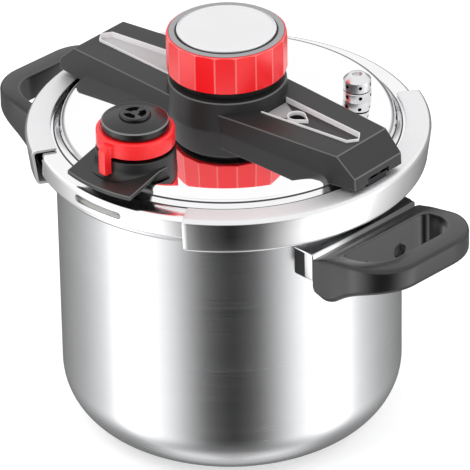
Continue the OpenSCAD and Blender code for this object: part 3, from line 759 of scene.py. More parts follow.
@dataclass(frozen=True)
class Finishes:
    """Every finish of the canner, by the place it is used."""

    pot: Metal = Metal(
        "satin pot steel", (0.655, 0.66, 0.67), 0.24, line_width=0.0012, line_depth=0.000006
    )
    base: Metal = Metal(
        "satin base steel", (0.60, 0.605, 0.62), 0.3, line_width=0.0009, line_depth=0.00001
    )
    core: Metal = Metal("base aluminium", (0.62, 0.62, 0.63), 0.45)
    # Painted shade: the bracket's colour darkens along Y from its bright near end.
    bracket: Metal = Metal(
        "polished bracket steel", (0.66, 0.66, 0.67), 0.2, Grain.STRAIGHT, shade_span=(-0.042, -0.006)
    )
    screw: Metal = Metal("plain screw steel", (0.62, 0.62, 0.63), 0.25)
    lid: Metal = Metal(
        "mirror lid steel", (0.90, 0.90, 0.91), 0.035, line_depth=0.0000004, cloud=0.02
    )
    lid_border: Metal = Metal(
        "polished lid border", (0.84, 0.84, 0.85), 0.12, line_depth=0.000002, cloud=0.03
    )
    # Painted shade: near-black on the two steep faces of the lid's step, standing in for the thin
    # shadow lines there.
    lid_step_painted_shade: Metal = Metal(
        "shaded lid step", (0.07, 0.07, 0.072), 0.4, line_depth=0.000002, cloud=0.03
    )
    jaw: Metal = Metal(
        "polished jaw steel", (0.80, 0.80, 0.81), 0.16, line_depth=0.000002, cloud=0.03
    )
    jaw_top: Metal = Metal(
        "satin jaw top", (0.84, 0.84, 0.85), 0.6, line_depth=0.000002, cloud=0.03
    )
    # Painted reflection: flat grey on the jaws' end faces, standing in for the silver line that
    # their polished edges reflect.
    jaw_end_painted_reflection: Moulded = Moulded("sawn steel edge", (0.46, 0.46, 0.465), 0.45, 0.5)
    # Near-black slide bars: dark steel, and also painted shade that darkens the notch under each
    # arm's end.
    bar: Metal = Metal("blackened bar steel", (0.035, 0.035, 0.037), 0.4, Grain.STRAIGHT)
    cam: Metal = Metal("cam steel", (0.46, 0.46, 0.48), 0.35)
    machined: Metal = Metal("machined valve steel", (0.56, 0.56, 0.58), 0.28)
    trim: Moulded = Moulded("bright arm trim", (0.80, 0.80, 0.81), 0.4, 0.5)
    # Painted shade: grey on the tray floors and near-black on the right tray's far floor, standing
    # in for how dark the recessed floors look.
    trim_floor_painted_shade: Moulded = Moulded("grey trim floor", (0.46, 0.46, 0.465), 0.45, 0.5)
    trim_far_floor_painted_shade: Moulded = Moulded("dark trim floor", (0.03, 0.03, 0.031), 0.5, 0.4)
    ring: Metal = Metal(
        "grey knob ring", (0.36, 0.36, 0.37), 0.26, line_width=0.0004, line_depth=0.00001
    )
    disc: Metal = Metal(
        "brushed knob disc", (0.80, 0.80, 0.81), 0.3, Grain.STRAIGHT, line_depth=0.000008
    )
    safety: Metal = Metal("turned safety steel", (0.72, 0.72, 0.73), 0.28, line_depth=0.00001)
    # Near-black: a dark joint on the safety valve's seam, and painted shade in its holes and in the
    # gap under the valve's selector ring.
    seam: Moulded = Moulded("dark seams and holes", (0.006, 0.006, 0.006), 0.6, 0.1)
    handle: Moulded = Moulded("black handle plastic", (0.009, 0.009, 0.009), 0.24, 0.6)
    # Painted highlight: lighter grey on the bead round the handle's finger opening, standing in for
    # the light line its round catches.
    handle_bead_highlight: Moulded = Moulded("worn handle bead", (0.05, 0.05, 0.05), 0.3, 0.6)
    pad: Moulded = Moulded("matt black pad", (0.010, 0.010, 0.010), 0.55, 0.3)
    arm: Moulded = Moulded("black arm plastic", (0.021, 0.021, 0.021), 0.46, 0.4)
    # Painted highlight: lighter grey on the rounded edges of the black hub, arms and valve plate,
    # standing in for the light lines those edges catch.
    arm_edge_highlight: Moulded = Moulded("worn arm edges", (0.10, 0.10, 0.10), 0.40, 0.6)
    knob_core: Moulded = Moulded("black knob core", (0.009, 0.009, 0.009), 0.42, 0.4)
    grip: Moulded = Moulded(
        "red grip plastic", (1.0, 0.012, 0.018), 0.24, 0.7, 0.0005, 0.000004, 0.03
    )
    # Painted highlight: lighter red on the narrow rounds between the grip's flats and on its top
    # edge, standing in for the light they catch.
    grip_ridge_highlight: Moulded = Moulded(
        "red grip ridges", (1.0, 0.16, 0.15), 0.30, 0.7, 0.0005, 0.000004, 0.03
    )
    selector: Moulded = Moulded(
        "red selector plastic", (1.0, 0.016, 0.020), 0.28, 0.6, 0.0005, 0.000004, 0.03
    )
    valve: Moulded = Moulded("black valve plastic", (0.016, 0.016, 0.016), 0.38, 0.5)
    cap: Moulded = Moulded("black cap plastic", (0.006, 0.006, 0.006), 0.28, 0.5, 0.0006, 0.000004)
    # Painted highlight: lighter grey on the cap's brim, standing in for the light line its edge
    # catches.
    cap_edge_highlight: Moulded = Moulded("bright cap edge", (0.16, 0.16, 0.165), 0.3, 0.6)
    silicone: Moulded = Moulded("grey silicone", (0.80, 0.80, 0.78), 0.45, 0.4)
    pin: Moulded = Moulded("red pin plastic", (0.75, 0.02, 0.02), 0.25, 0.6)


# --- Pieces --------------------------------------------------------------------------------


@dataclass
class Workshop:
    """Turns solids into finished pieces in the frame."""

    frame: dict
    finishes: Finishes = field(default_factory=Finishes)
    count: int = 0

    @property
    def lid_turn(self) -> float:
        """Turn of the lid on the pot, read from the line that the right jaw slides on.

        Returns:
            The turn in radians.
        """
        joints = self.frame["record"]["behaviour"]["joints"]
        slide = next(joint for joint in joints if joint["name"] == "clamp_right_slide")
        return math.atan2(slide["axis"][1], slide["axis"][0])

    def piece(
        self,
        name: str,
        solid: Solid,
        finish: Finish,
        body: str,
        slot: str,
        stands_for: Sequence[str] = (),
        on_lid: bool = False,
        side: Side = Side.RIGHT,
        others: Sequence[Finish] = (),
        sharp: float = SHARP_ANGLE,
    ) -> bpy.types.Object:
        """slot: Not used. The material slot that the finish belongs to.
            stands_for: CAD nodes that it replaces.
            on_lid: Whether it is turned with the lid.
            side: The end of the canner that it is on.
            others: Finishes of the faces that carry material index 1 and up.
            sharp: Edges that turn by more than this stay sharp.

        Returns:
            The finished object.
        """
        turn = side.value + (self.lid_turn if on_lid else 0.0)
        solid.transform(Matrix.Rotation(turn, 4, "Z") @ Matrix.Scale(MM, 4))
        holder = loose_object(solid, name)
        mesh = holder.data
        indices = [min(face.material_index, len(others)) for face in mesh.polygons]
        mesh.materials.clear()
        for used in (finish, *others):
            mesh.materials.append(used.material())
        mesh.polygons.foreach_set("material_index", indices)
        mesh.polygons.foreach_set("use_smooth", [True] * len(mesh.polygons))
        mesh.set_sharp_from_angle(angle=sharp)
        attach(holder, body)
        if stands_for:
            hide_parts(*stands_for)
        self.count += 1
        LOG.info("%s rides on %s with %d faces", name, body, len(mesh.polygons))
        return holder

    def dress(self, node: str, finish: Finish) -> None:
        """Gives a CAD node that stays its finish.

        Args:
            node: The node's name.
            finish: The finish of its surface.
        """
        holder = self.frame["nodes"][node]
        if not holder.material_slots:
            holder.data.materials.append(None)
        for slot in holder.material_slots:
            slot.material = finish.material()
        LOG.info("%s keeps its solid and is dressed in %s", node, finish.name)

    def top(self, node: str) -> float:
        """Height of a node's highest point in millimetres."""
        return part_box(node)[1].z / MM

    def foot(self, node: str) -> float:
        """Height of a node's lowest point in millimetres."""
        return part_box(node)[0].z / MM

    def radius(self, node: str) -> float:
        """Largest reach of a centred round node in millimetres."""
        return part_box(node)[1].y / MM

    def middle(self, node: str) -> Vector:
        """A node's middle in plan, in millimetres and in the lid's own frame.

        Args:
            node: The node's name.

        Returns:
            The middle, at height 0.
        """
        low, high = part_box(node)
        point = (low + high) / 2 / MM
        point.z = 0.0
        point.rotate(Matrix.Rotation(-self.lid_turn, 3, "Z"))
        return point


class Repeater:
    """Geometry Nodes trees that repeat a shape or work out one that follows a rule."""

    @staticmethod
    def _tree(
        name: str, inputs: Sequence[tuple[str, str, object]]
    ) -> tuple[bpy.types.NodeTree, Graph]:
        """Starts a tree with named inputs.

        Args:
            name: The tree's name.
            inputs: Name, socket type and value of each input.

        Returns:
            The tree and its graph.
        """
        tree = bpy.data.node_groups.new(name, "GeometryNodeTree")
        tree.interface.new_socket("Geometry", in_out="INPUT", socket_type="NodeSocketGeometry")
        for label, kind, value in inputs:
            socket = tree.interface.new_socket(label, in_out="INPUT", socket_type=kind)
            if value is not None:
                socket.default_value = value
        tree.interface.new_socket("Geometry", in_out="OUTPUT", socket_type="NodeSocketGeometry")
        return tree, Graph(tree)

    @staticmethod
    def _run(start: Solid, tree: bpy.types.NodeTree, values: dict[str, object]) -> Solid:
        """Runs a tree on a start mesh.

        Args:
            start: The mesh that the tree gets; it is freed.
            tree: The tree.
            values: Values of its named inputs.

        Returns:
            The resulting solid.
        """
        holder = loose_object(start, "repeat")
        step = holder.modifiers.new("repeat", "NODES")
        step.node_group = tree
        for item in tree.interface.items_tree:
            if item.in_out == "INPUT" and item.name in values:
                step[item.identifier] = values[item.name]
        return plain_mesh(holder)

    @classmethod
    def on_points(
        cls,
        shape: Solid,
        points: Sequence[Vector],
        turns: Sequence[float],
        finish: Finish,
    ) -> Solid:
        """Sets one shape on several points.

        Args:
            shape: The shape, about its own origin; it is freed.
            points: Where each copy goes.
            turns: Turn of each copy about the upright axis, in radians.
            finish: The finish that the tree sets.

        Returns:
            All copies in one solid.
        """
        tree, graph = cls._tree(
            "set on points", [("Shape", "NodeSocketObject", None), ("Size", "NodeSocketFloat", 1.0)]
        )
        source = graph.add("NodeGroupInput")
        info = graph.add("GeometryNodeObjectInfo")
        graph.feed(info.inputs["Object"], source.outputs["Shape"])
        turn = graph.add("GeometryNodeInputNamedAttribute", data_type="FLOAT")
        turn.inputs["Name"].default_value = "turn"
        angles = graph.add("ShaderNodeCombineXYZ")
        graph.feed(angles.inputs[2], turn.outputs["Attribute"])
        to_points = graph.add("GeometryNodeMeshToPoints")
        graph.feed(to_points.inputs["Mesh"], source.outputs["Geometry"])
        setter = graph.add("GeometryNodeInstanceOnPoints")
        graph.feed(setter.inputs["Points"], to_points.outputs[0])
        graph.feed(setter.inputs["Instance"], info.outputs["Geometry"])
        graph.feed(setter.inputs["Rotation"], angles.outputs[0])
        graph.feed(setter.inputs["Scale"], source.outputs["Size"])
        cls._finish_tree(graph, setter.outputs[0], finish)
        holder = loose_object(shape, "shape")
        start = bmesh.new()
        layer = start.verts.layers.float.new("turn")
        for point, angle in zip(points, turns):
            start.verts.new(point)[layer] = angle
        result = cls._run(start, tree, {"Shape": holder, "Size": 1.0})
        bpy.data.objects.remove(holder)
        return outward(result)

    @classmethod
    def round_axis(
        cls, shape: Solid, count: int, start_turn: float, finish: Finish
    ) -> Solid:
        """Repeats a shape evenly round the upright axis.

        Args:
            shape: The shape in its first place; it is freed.
            count: Number of copies.
            start_turn: Turn of the first copy in degrees.
            finish: The finish that the tree sets.

        Returns:
            All copies in one solid.
        """
        step = 2 * math.pi / count
        turns = [math.radians(start_turn) + step * k for k in range(count)]
        return cls.on_points(shape, [Vector((0, 0, 0))] * count, turns, finish)

    @classmethod
    def fluted(
        cls, flats: int, radius: float, edge: float, height: float, finish: Finish
    ) -> Solid:
        """A grip with flats whose upright edges are narrow rounds.

        Args:
            flats: Number of flats.
            radius: Distance from the axis to a sharp edge.
            edge: Radius that rounds each edge.
            height: Height of the grip.
            finish: The finish that the tree sets.

        Returns:
            The closed solid, standing on height 0.
        """
        values = {"Flats": flats, "Radius": radius, "Edge": edge, "Height": height}
        inputs = [(name, "NodeSocketFloat", value) for name, value in values.items()]
        inputs[0] = ("Flats", "NodeSocketInt", flats)
        tree, graph = cls._tree("fluted grip", inputs)
        source = graph.add("NodeGroupInput")
        circle = graph.add("GeometryNodeMeshCircle")
        graph.feed(circle.inputs["Vertices"], source.outputs["Flats"])
        graph.feed(circle.inputs["Radius"], source.outputs["Radius"])
        curve = graph.add("GeometryNodeMeshToCurve")
        graph.feed(curve.inputs[0], circle.outputs[0])
        fillet = graph.add("GeometryNodeFilletCurve", mode="POLY")
        graph.feed(fillet.inputs["Curve"], curve.outputs[0])
        graph.feed(fillet.inputs["Radius"], source.outputs["Edge"])
        graph.feed(fillet.inputs["Count"], 1)
        fill = graph.add("GeometryNodeFillCurve", mode="NGONS")
        graph.feed(fill.inputs[0], fillet.outputs[0])
        rise = graph.add("GeometryNodeExtrudeMesh", mode="FACES")
        graph.feed(rise.inputs["Mesh"], fill.outputs[0])
        graph.feed(rise.inputs["Offset Scale"], source.outputs["Height"])
        floor = graph.add("GeometryNodeFlipFaces")
        graph.feed(floor.inputs[0], fill.outputs[0])
        joined = graph.add("GeometryNodeJoinGeometry")
        graph.feed(joined.inputs[0], rise.outputs[0])
        graph.tree.links.new(floor.outputs[0], joined.inputs[0])
        merged = graph.add("GeometryNodeMergeByDistance")
        graph.feed(merged.inputs["Geometry"], joined.outputs[0])
        cls._finish_tree(graph, merged.outputs[0], finish)
        start = bmesh.new()
        start.verts.new((0, 0, 0))
        return outward(cls._run(start, tree, values))

    @staticmethod
    def _finish_tree(graph: Graph, result: bpy.types.NodeSocket, finish: Finish) -> None:
        """Ends a tree with Realize Instances and Set Material.

        Args:
            graph: The tree's graph.
            result: The geometry that the tree has made.
            finish: The finish that it sets.
        """
        real = graph.add("GeometryNodeRealizeInstances")
        graph.feed(real.inputs[0], result)
        paint = graph.add("GeometryNodeSetMaterial")
        graph.feed(paint.inputs["Geometry"], real.outputs[0])
        paint.inputs["Material"].default_value = finish.material()
        out = graph.add("NodeGroupOutput")
        graph.feed(out.inputs[0], paint.outputs[0])


# --- Sub-assemblies ------------------------------------------------------------------------


@dataclass
class Pot:
    """The tall pot with its rolled rim and the layered base under it."""

    shop: Workshop
    wall: float = 1.5
    corner: float = 37.0
    curl: float = 2.4
    base_step: float = 2.8
    base_r: float = 86.0
    cap_sheet: float = 0.9

    def build(self) -> None:
        """Builds the pot's wall, rim and base."""
        self._body()
        self._rim()
        self._base()
        self.shop.dress("base_core", self.shop.finishes.core)

    def _corner_arc(self, skin: float, low: float) -> list[Point]:
        """The round between floor and wall, from a height up to the wall.

        Args:
            skin: Distance inside the outer face.
            low: Height at which it starts.

        Returns:
            The arc's points.
        """
        radius = self.corner - skin
        start = -math.degrees(math.asin(min(1.0, (self.corner - low) / radius)))
        return arc(self.shop.radius("pot_body") - self.corner, self.corner, radius, start, 0, 16)

    def _body(self) -> None:
        """Turns the pot's wall and floor."""
        outer = self.shop.radius("pot_body")
        top, low = self.shop.top("pot_body"), self.shop.foot("pot_body")
        profile = [(0.0, low)] + self._corner_arc(0, low)
        profile += [(outer, self.corner + 1), (outer, top - 2), (outer, top)]
        profile += [(outer - self.wall, top), (outer - self.wall, self.corner + 1)]
        profile += list(reversed(self._corner_arc(self.wall, low + self.wall)))
        profile += [(0.0, low + self.wall)]
        self.shop.piece(
            "pot_wall", lathe(profile), self.shop.finishes.pot, "pot", "pot_steel", ["pot_body"]
        )

    def _rim(self) -> None:
        """Turns the flat rim with its rolled edge."""
        top, outer = self.shop.top("pot_body"), self.shop.radius("pot_rim")
        inner = self.shop.radius("pot_body")
        curl_x = outer - self.curl
        profile = [(inner - 0.2, top - self.wall), (inner - 0.2, top), (curl_x, top)]
        profile += list(reversed(arc(curl_x, top - self.curl, self.curl, -170, 90, 14)))[1:]
        profile += [(curl_x - self.curl, top - self.wall)]
        self.shop.piece(
            "pot_rolled_rim",
            lathe(profile),
            self.shop.finishes.pot,
            "pot",
            "pot_steel",
            ["pot_rim"],
        )

    def _base(self) -> None:
        """Turns the steel cap that covers the thick base."""
        top, step, foot = self.shop.foot("pot_body"), self.base_step, self.base_r
        sheet = self.cap_sheet
        outer = [p for p in self._corner_arc(0, step) if p[1] < top]
        rise = arc(foot - 1.2, 1.2, 1.2, -90, 0, 5)
        profile = [(0.0, 0.0)] + rise + [(foot, step - 0.4), (foot + 0.4, step)] + outer
        profile += [(outer[-1][0] + 0.6, top), (foot - 4, top), (foot - 4, sheet), (0.0, sheet)]
        self.shop.piece(
            "base_steel_cap",
            lathe(profile),
            self.shop.finishes.base,
            "pot",
            "base_steel",
            ["base_cap"],
        )


@dataclass
class SideHandle:
    """A looped side handle on its bracket and pad.

    The heights of its top edge and underside are eased through a few drops below the top of its
    tip, each at its share of the way from the pot to the tip.
    """

    shop: Workshop
    side: Side
    corner: float = 29.8
    wall_in: float = 15.8
    wall_out: float = 14.3
    wall_side: float = 10.2
    opening_corner: float = 19.6
    edge_top: float = 3.2
    edge_low: float = 4.2
    edge_bead: float = 1.6
    edge_back: float = 0.9
    root_corner: float = 2.0
    opening_root: float = 5.0
    screw_y: float = 15.5
    shank_hole: float = 2.6
    head_hole: float = 5.4
    flange_sheet: float = 1.3
    pot_clear: float = 111.0
    pad_back: float = 1.5
    pad_below: float = 2.0
    skirt_root: float = 1.6
    skirt_tip: float = 0.8
    tip_past: float = 0.9

    def __post_init__(self) -> None:
        """Reads the handle's place from the frame."""
        low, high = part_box("handle_right")
        self.back, self.reach, self.half = low.x / MM, high.x / MM, high.y / MM
        self.tip_top = high.z / MM
        self.length = self.reach - self.back

    def _top(self, x: float) -> float:
        """Height of the top edge, which rises from the pot to the tip.

        Args:
            x: Distance from the pot's axis.

        Returns:
            The height.
        """
        share = (x - self.back) / self.length
        drops = [
            (0, -10), (0.098, -7.6), (0.23, -5.1), (0.393, -2.9), (0.557, -1.2), (0.721, -0.25),
            (1, 0),
        ]
        return self.tip_top + smooth_through(drops, share)

    def _low(self, x: float) -> float:
        """Height of the underside, deep at the root and thin at the tip.

        Args:
            x: Distance from the pot's axis.

        Returns:
            The height.
        """
        share = (x - self.back) / self.length
        drops = [
            (0, -26.5), (0.05, -31), (0.13, -33.8), (0.2, -34.3), (0.295, -32.5), (0.361, -29.7)
        ]
        drops += [(0.475, -25), (0.574, -21.7), (0.672, -19.5), (0.803, -17.5), (1, -15.9)]
        fuller = self.skirt_root + (self.skirt_tip - self.skirt_root) * share
        return self.tip_top + smooth_through(drops, share) - fuller

    def _loop(self, x0: float, x1: float, half: float, r0: float, r1: float) -> list[Point]:
        """A plan loop with rounded corners and evenly split sides.

        Args:
            x0: Its end nearer the pot.
            x1: Its far end.
            half: Half of its width.
            r0: Radius of the corners near the pot.
            r1: Radius of the far corners.

        Returns:
            The loop's points, always the same number.
        """
        corners = [(x0 + r0, half - r0, r0, 180, 90), (x1 - r1, half - r1, r1, 90, 0)]
        corners += [(x1 - r1, r1 - half, r1, 0, -90), (x0 + r0, r0 - half, r0, -90, -180)]
        points: list[Point] = []
        for index, (x, y, radius, start, end) in enumerate(corners):
            here = arc(x, y, radius, start, end, LOOP_STEPS)
            nx, ny, nr, nstart, _ = corners[(index + 1) % 4]
            there = arc(nx, ny, nr, nstart, nstart, 1)[0]
            points += here
            for k in range(1, LOOP_STEPS):
                share = k / LOOP_STEPS
                points.append(tuple(a * (1 - share) + b * share for a, b in zip(here[-1], there)))
        return points

    def _grip(self) -> Solid:
        """The loop, with every edge rounded and a bead round the finger opening that carries a
        painted highlight.

        Returns:
            The closed solid.
        """
        outside = self._loop(
            self.back, self.reach + self.tip_past, self.half, self.root_corner, self.corner
        )
        inside = self._loop(
            self.back + self.wall_in,
            self.reach - self.wall_out,
            self.half - self.wall_side,
            self.opening_root,
            self.opening_corner,
        )
        solid = bmesh.new()
        rings = []
        for (ox, oy), (ix, iy) in zip(outside, inside):
            width = math.hypot(ix - ox, iy - oy)
            ring = []
            corners = ((0.0, self._low, self.edge_low, 1), (0.0, self._top, self.edge_top, 0))
            corners += ((1.0, self._top, self.edge_bead, 0), (1.0, self._low, self.edge_bead, 1))
            for index, (far, height, radius, under) in enumerate(corners):
                at_back = ox < self.back + 3 and far == 0.0
                round_r = self.edge_back if at_back else radius
                sweep = [k / EDGE_STEPS for k in range(EDGE_STEPS + 1)]
                for share in sweep if index % 2 == 0 else reversed(sweep):
                    turn = share * math.pi / 2
                    inset = round_r * (1 - math.sin(turn))
                    if far != 0.0:
                        inset = width - inset
                    drop = round_r * (1 - math.cos(turn))
                    mix = inset / width
                    x, y = ox + (ix - ox) * mix, oy + (iy - oy) * mix
                    z = height(x) + (drop if under else -drop)
                    ring.append(solid.verts.new((x, y, z)))
            rings.append(ring)
        for k, ring in enumerate(rings):
            following = rings[(k + 1) % len(rings)]
            for j in range(len(ring)):
                i = (j + 1) % len(ring)
                face = solid.faces.new((ring[j], ring[i], following[i], following[j]))
                # Faces on the bead take index 1, the painted highlight.
                face.material_index = 1 if j in BEAD_STEPS else 0
        return outward(solid)

    def build(self) -> None:
        """Builds the grip with its screw holes, the bracket and the pad."""
        word = self.side.word
        finishes = self.shop.finishes
        grip = self._grip()
        hole_z = (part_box("handle_screws")[0].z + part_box("handle_screws")[1].z) / 2 / MM
        for y in (-self.screw_y, self.screw_y):
            near, seat = Vector((self.back - 1, y, hole_z)), Vector((self.back + 6, y, hole_z))
            mouth = Vector((self.back + self.wall_in + 3, y, hole_z))
            shank = drill(self.shank_hole, near, seat + Vector((1, 0, 0)))
            grip = combine(grip, shank, Join.CUT)
            grip = combine(grip, drill(self.head_hole, seat, mouth), Join.CUT)
        handle = self.shop.piece(
            f"grip_{word}",
            grip,
            finishes.handle,
            "pot",
            "handle_black",
            [f"handle_{word}"],
            side=self.side,
            others=(finishes.handle_bead_highlight,),
        )
        handle.visible_glossy = False
        self._bracket(word)
        self._pad(word)

    def _bracket(self, word: str) -> None:
        """Builds the polished plate and the boss that is welded to the pot.

        Args:
            word: The side's name.
        """
        low, high = (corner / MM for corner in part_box("bracket_right"))
        plate = soften(block((self.back - 8, -high.y, low.z), (self.back, high.y, high.z)), 1.2)
        boss_z = self.tip_top - 16.5
        boss = drill(8.0, Vector((low.x, 0, boss_z)), Vector((self.back - 6, 0, boss_z)), 48)
        flange = block(
            (low.x - 6, -high.y, high.z - self.flange_sheet), (self.back - 4, high.y, high.z)
        )
        bracket = combine(combine(plate, boss, Join.ADD), soften(flange, 0.3), Join.ADD)
        finish = self.shop.finishes.bracket
        self.shop.piece(
            f"bracket_plate_{word}",
            self._clear_of_pot(bracket),
            finish,
            "pot",
            "bracket_steel",
            [f"bracket_{word}"],
            side=self.side,
        )

    def _pad(self, word: str) -> None:
        """Builds the pad that fills the gap between bracket and pot.

        Args:
            word: The side's name.
        """
        low, high = (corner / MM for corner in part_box("pad_right"))
        top = self.shop.top("bracket_right") - self.flange_sheet - 0.3
        half, foot = high.y - self.pad_back, low.z - self.pad_below
        body = soften(block((low.x - 6, -half, foot), (self.back - 8, half, top)), 2.4)
        finish = self.shop.finishes.pad
        self.shop.piece(
            f"pad_block_{word}",
            self._clear_of_pot(body),
            finish,
            "pot",
            "pad_black",
            [f"pad_{word}"],
            side=self.side,
        )

    def _clear_of_pot(self, solid: Solid) -> Solid:
        """Hollows a solid's inner side to lie on the round pot."""
        return combine(solid, core(self.pot_clear, 100, 230), Join.CUT)


@dataclass
class Lid:
    """The mirror lid with its raised, gently sloping middle, and its gasket."""

    shop: Workshop
    sheet: float = 1.6
    border: float = 17.3
    rise: float = 11.4
    slope: float = 5.0
    shoulder: float = 7.0
    dome_r: float = 36.0
    step: float = 3.5
    step_run: float = 4.2
    edge: float = 3.4
    window_half: float = 19.4
    window_h: float = 5.2
    window_drop: float = 10.4

    def __post_init__(self) -> None:
        """Reads the lid's reach and heights from the frame."""
        self.reach = self.shop.radius("lid_shell")
        self.crown = self.shop.top("lid_shell")
        self.top = self.crown - self.rise
        self.foot = self.shop.foot("lid_shell")
        self.flat_r = self.reach - self.border
        lean = math.radians(self.slope)
        self.centre_x = self.flat_r - self.shoulder * math.cos(lean)
        self.centre_z = self.top - self.shoulder * math.sin(lean)
        self.panel_r = self.centre_x + self.shoulder * math.sin(lean)
        self.panel_z = self.centre_z + self.shoulder * math.cos(lean)

    def height(self, radius: float) -> float:
        """Height of the sloping panel at a distance from the middle."""
        share = max(0.0, (radius - self.dome_r) / (self.panel_r - self.dome_r))
        return self.crown - share * (self.crown - self.panel_z)

    def outline(self) -> list[Point]:
        """The outside line from the middle to the flange.

        Returns:
            Its points as radius and height.
        """
        flange = self.top - self.step
        line = [(0.0, self.crown), (self.dome_r - 8, self.crown), (self.dome_r, self.crown - 0.05)]
        panel = (self.dome_r + 1.0, self.panel_r - 1.0, self.panel_r - 0.3)
        line += [(radius, self.height(radius)) for radius in panel]
        line += arc(self.centre_x, self.centre_z, self.shoulder, 85.6, 20, 12)
        line += [(self.flat_r + 0.1, self.top + 0.5), (self.flat_r + 0.7, self.top - 0.5)]
        step_end = self.flat_r + self.step_run
        line += [
            (step_end - 0.9, flange + 0.75), (step_end, flange + 0.12), (step_end + 0.9, flange)
        ]
        return line

    def solid_below(self) -> Solid:
        """Everything under the lid's top face, for cutting what stands on it.

        Returns:
            The closed solid.
        """
        flange = self.top - self.step
        past = self.reach + 0.2
        return lathe([(0, UNDER_LID), *self.outline(), (past, flange), (past, UNDER_LID)])

    def build(self) -> None:
        """Builds the lid's sheet and dresses what seals it."""
        flange = self.top - self.step
        profile = self.outline()
        profile += [(self.reach - self.edge - 1.5, flange)]
        profile += arc(self.reach - self.edge, flange - self.edge, self.edge, 86, 0, 8)
        profile += [(self.reach, self.foot + 1.6)]
        profile += arc(self.reach - 0.8, self.foot + 0.8, 0.8, 0, -180, 6)
        inner = self.edge - self.sheet
        profile += arc(self.reach - self.edge, flange - self.edge, inner, 0, 90, 5)
        profile += [(self.flat_r + self.step_run + 0.7, flange - self.sheet)]
        profile += arc(self.centre_x, self.centre_z, self.shoulder - self.sheet, -8, 85, 8)
        profile += [(self.dome_r, self.crown - self.sheet), (0.0, self.crown - self.sheet)]
        shell = combine(lathe(profile, FINE_STEPS), self._window(), Join.CUT)
        # The border's upward faces take index 1; the steep faces of the step take index 2, the
        # painted shade.
        for face in shell.faces:
            centre = face.calc_center_median()
            run = math.hypot(centre.x, centre.y) - self.flat_r
            on_step = 0.2 < run < 0.65 or self.step_run - 0.8 < run < self.step_run
            if centre.z > flange - 0.4 and 0 < run and face.normal.z > 0.05:
                face.material_index = 2 if on_step else 1
        finishes = self.shop.finishes
        self.shop.piece(
            "lid_sheet",
            shell,
            finishes.lid,
            "lid",
            "lid_mirror",
            ["lid_shell"],
            on_lid=True,
            others=(finishes.lid_border, finishes.lid_step_painted_shade),
        )
        for node in ("gasket", "valve_seal", "safety_seal", "float_bush"):
            self.shop.dress(node, self.shop.finishes.silicone)
        for node in ("centre_post", "valve_tube", "valve_piston", "safety_plunger"):
            self.shop.dress(node, self.shop.finishes.machined)
        for node in (
            "post_lid_nut", "post_washer", "post_nut", "valve_nut", "safety_nut", "bridge_screws"
        ):
            self.shop.dress(node, self.shop.finishes.screw)
        self.shop.dress("float_pin", self.shop.finishes.pin)

    def _window(self) -> Solid:
        """The long round-ended window in the skirt, where the gasket shows.

        Returns:
            The cutter, in place.
        """
        z, half = self.top - self.window_drop, self.window_h / 2
        end = self.window_half - half
        cutter = across(arc(end, z, half, -90, 90, 10) + arc(-end, z, half, 90, 270, 10), 6)
        cutter.transform(Matrix.Translation((0, -self.reach, 0)))
        return cutter


@dataclass
class Clamps:
    """The two jaws that grip the pot's rim, with the bars that move them."""

    shop: Workshop
    half_angle: float = 61.5
    short_end: float = 3.2
    sheet: float = 1.8
    over: float = 16.4
    lean: float = 2.3
    edge: float = 3.4
    lip: float = 12.5

    def _section(self) -> list[Point]:
        """Section of a jaw: flange, skirt and the lip turned in under the rim.

        Returns:
            Its points as radius and height.
        """
        top, foot = self.shop.top("jaw_right"), self.shop.foot("jaw_right")
        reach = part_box("jaw_right")[1].x / MM
        inner, lower = reach - self.over, reach - self.lean
        edge, sheet = self.edge, self.sheet
        points = [(inner, top - sheet)] + arc(inner + 0.5, top - 0.5, 0.5, 180, 90, 3)
        points += arc(reach - edge, top - edge, edge, 90, 2, 9)
        points += arc(lower - edge, foot + edge, edge, 0, -90, 9)
        lip = reach - self.lip
        points += [(lip + 0.4, foot), (lip, foot + 0.5), (lip, foot + sheet)]
        points += arc(lower - edge, foot + edge, edge - sheet, -90, 0, 6)
        points += arc(reach - edge, top - edge, edge - sheet, 2, 90, 6)
        return points

    def build(self) -> None:
        """Builds both jaws and dresses the parts that move them, and both springs."""
        finishes = self.shop.finishes
        sweep = 2 * self.half_angle - self.short_end
        for side in Side:
            word = side.word
            jaw = soften(lathe(self._section(), FINE_STEPS, -self.half_angle, sweep), 0.3, 2, 60)
            # Upward faces take the satin top; faces across the rim's run, the jaw ends, take index
            # 2, the painted reflection.
            for face in jaw.faces:
                place, way = face.calc_center_median(), face.normal
                along_rim = abs(way.y * place.x - way.x * place.y) / math.hypot(place.x, place.y)
                face.material_index = 1 if way.z > 0.85 else 2 if along_rim > 0.8 else 0
            self.shop.piece(
                f"jaw_channel_{word}",
                jaw,
                finishes.jaw,
                f"clamp_{word}",
                "jaw_steel",
                [f"jaw_{word}"],
                on_lid=True,
                side=side,
                others=(finishes.jaw_top, finishes.jaw_end_painted_reflection),
            )
            self.shop.dress(f"slide_bar_{word}", finishes.bar)
            self.shop.dress(f"cam_pin_{word}", finishes.cam)
            self.shop.dress(f"jaw_rivets_{word}", finishes.screw)
        self.shop.dress("cam_plate", finishes.cam)
        for node in ("valve_spring", "safety_spring"):
            self.shop.dress(node, finishes.cam)


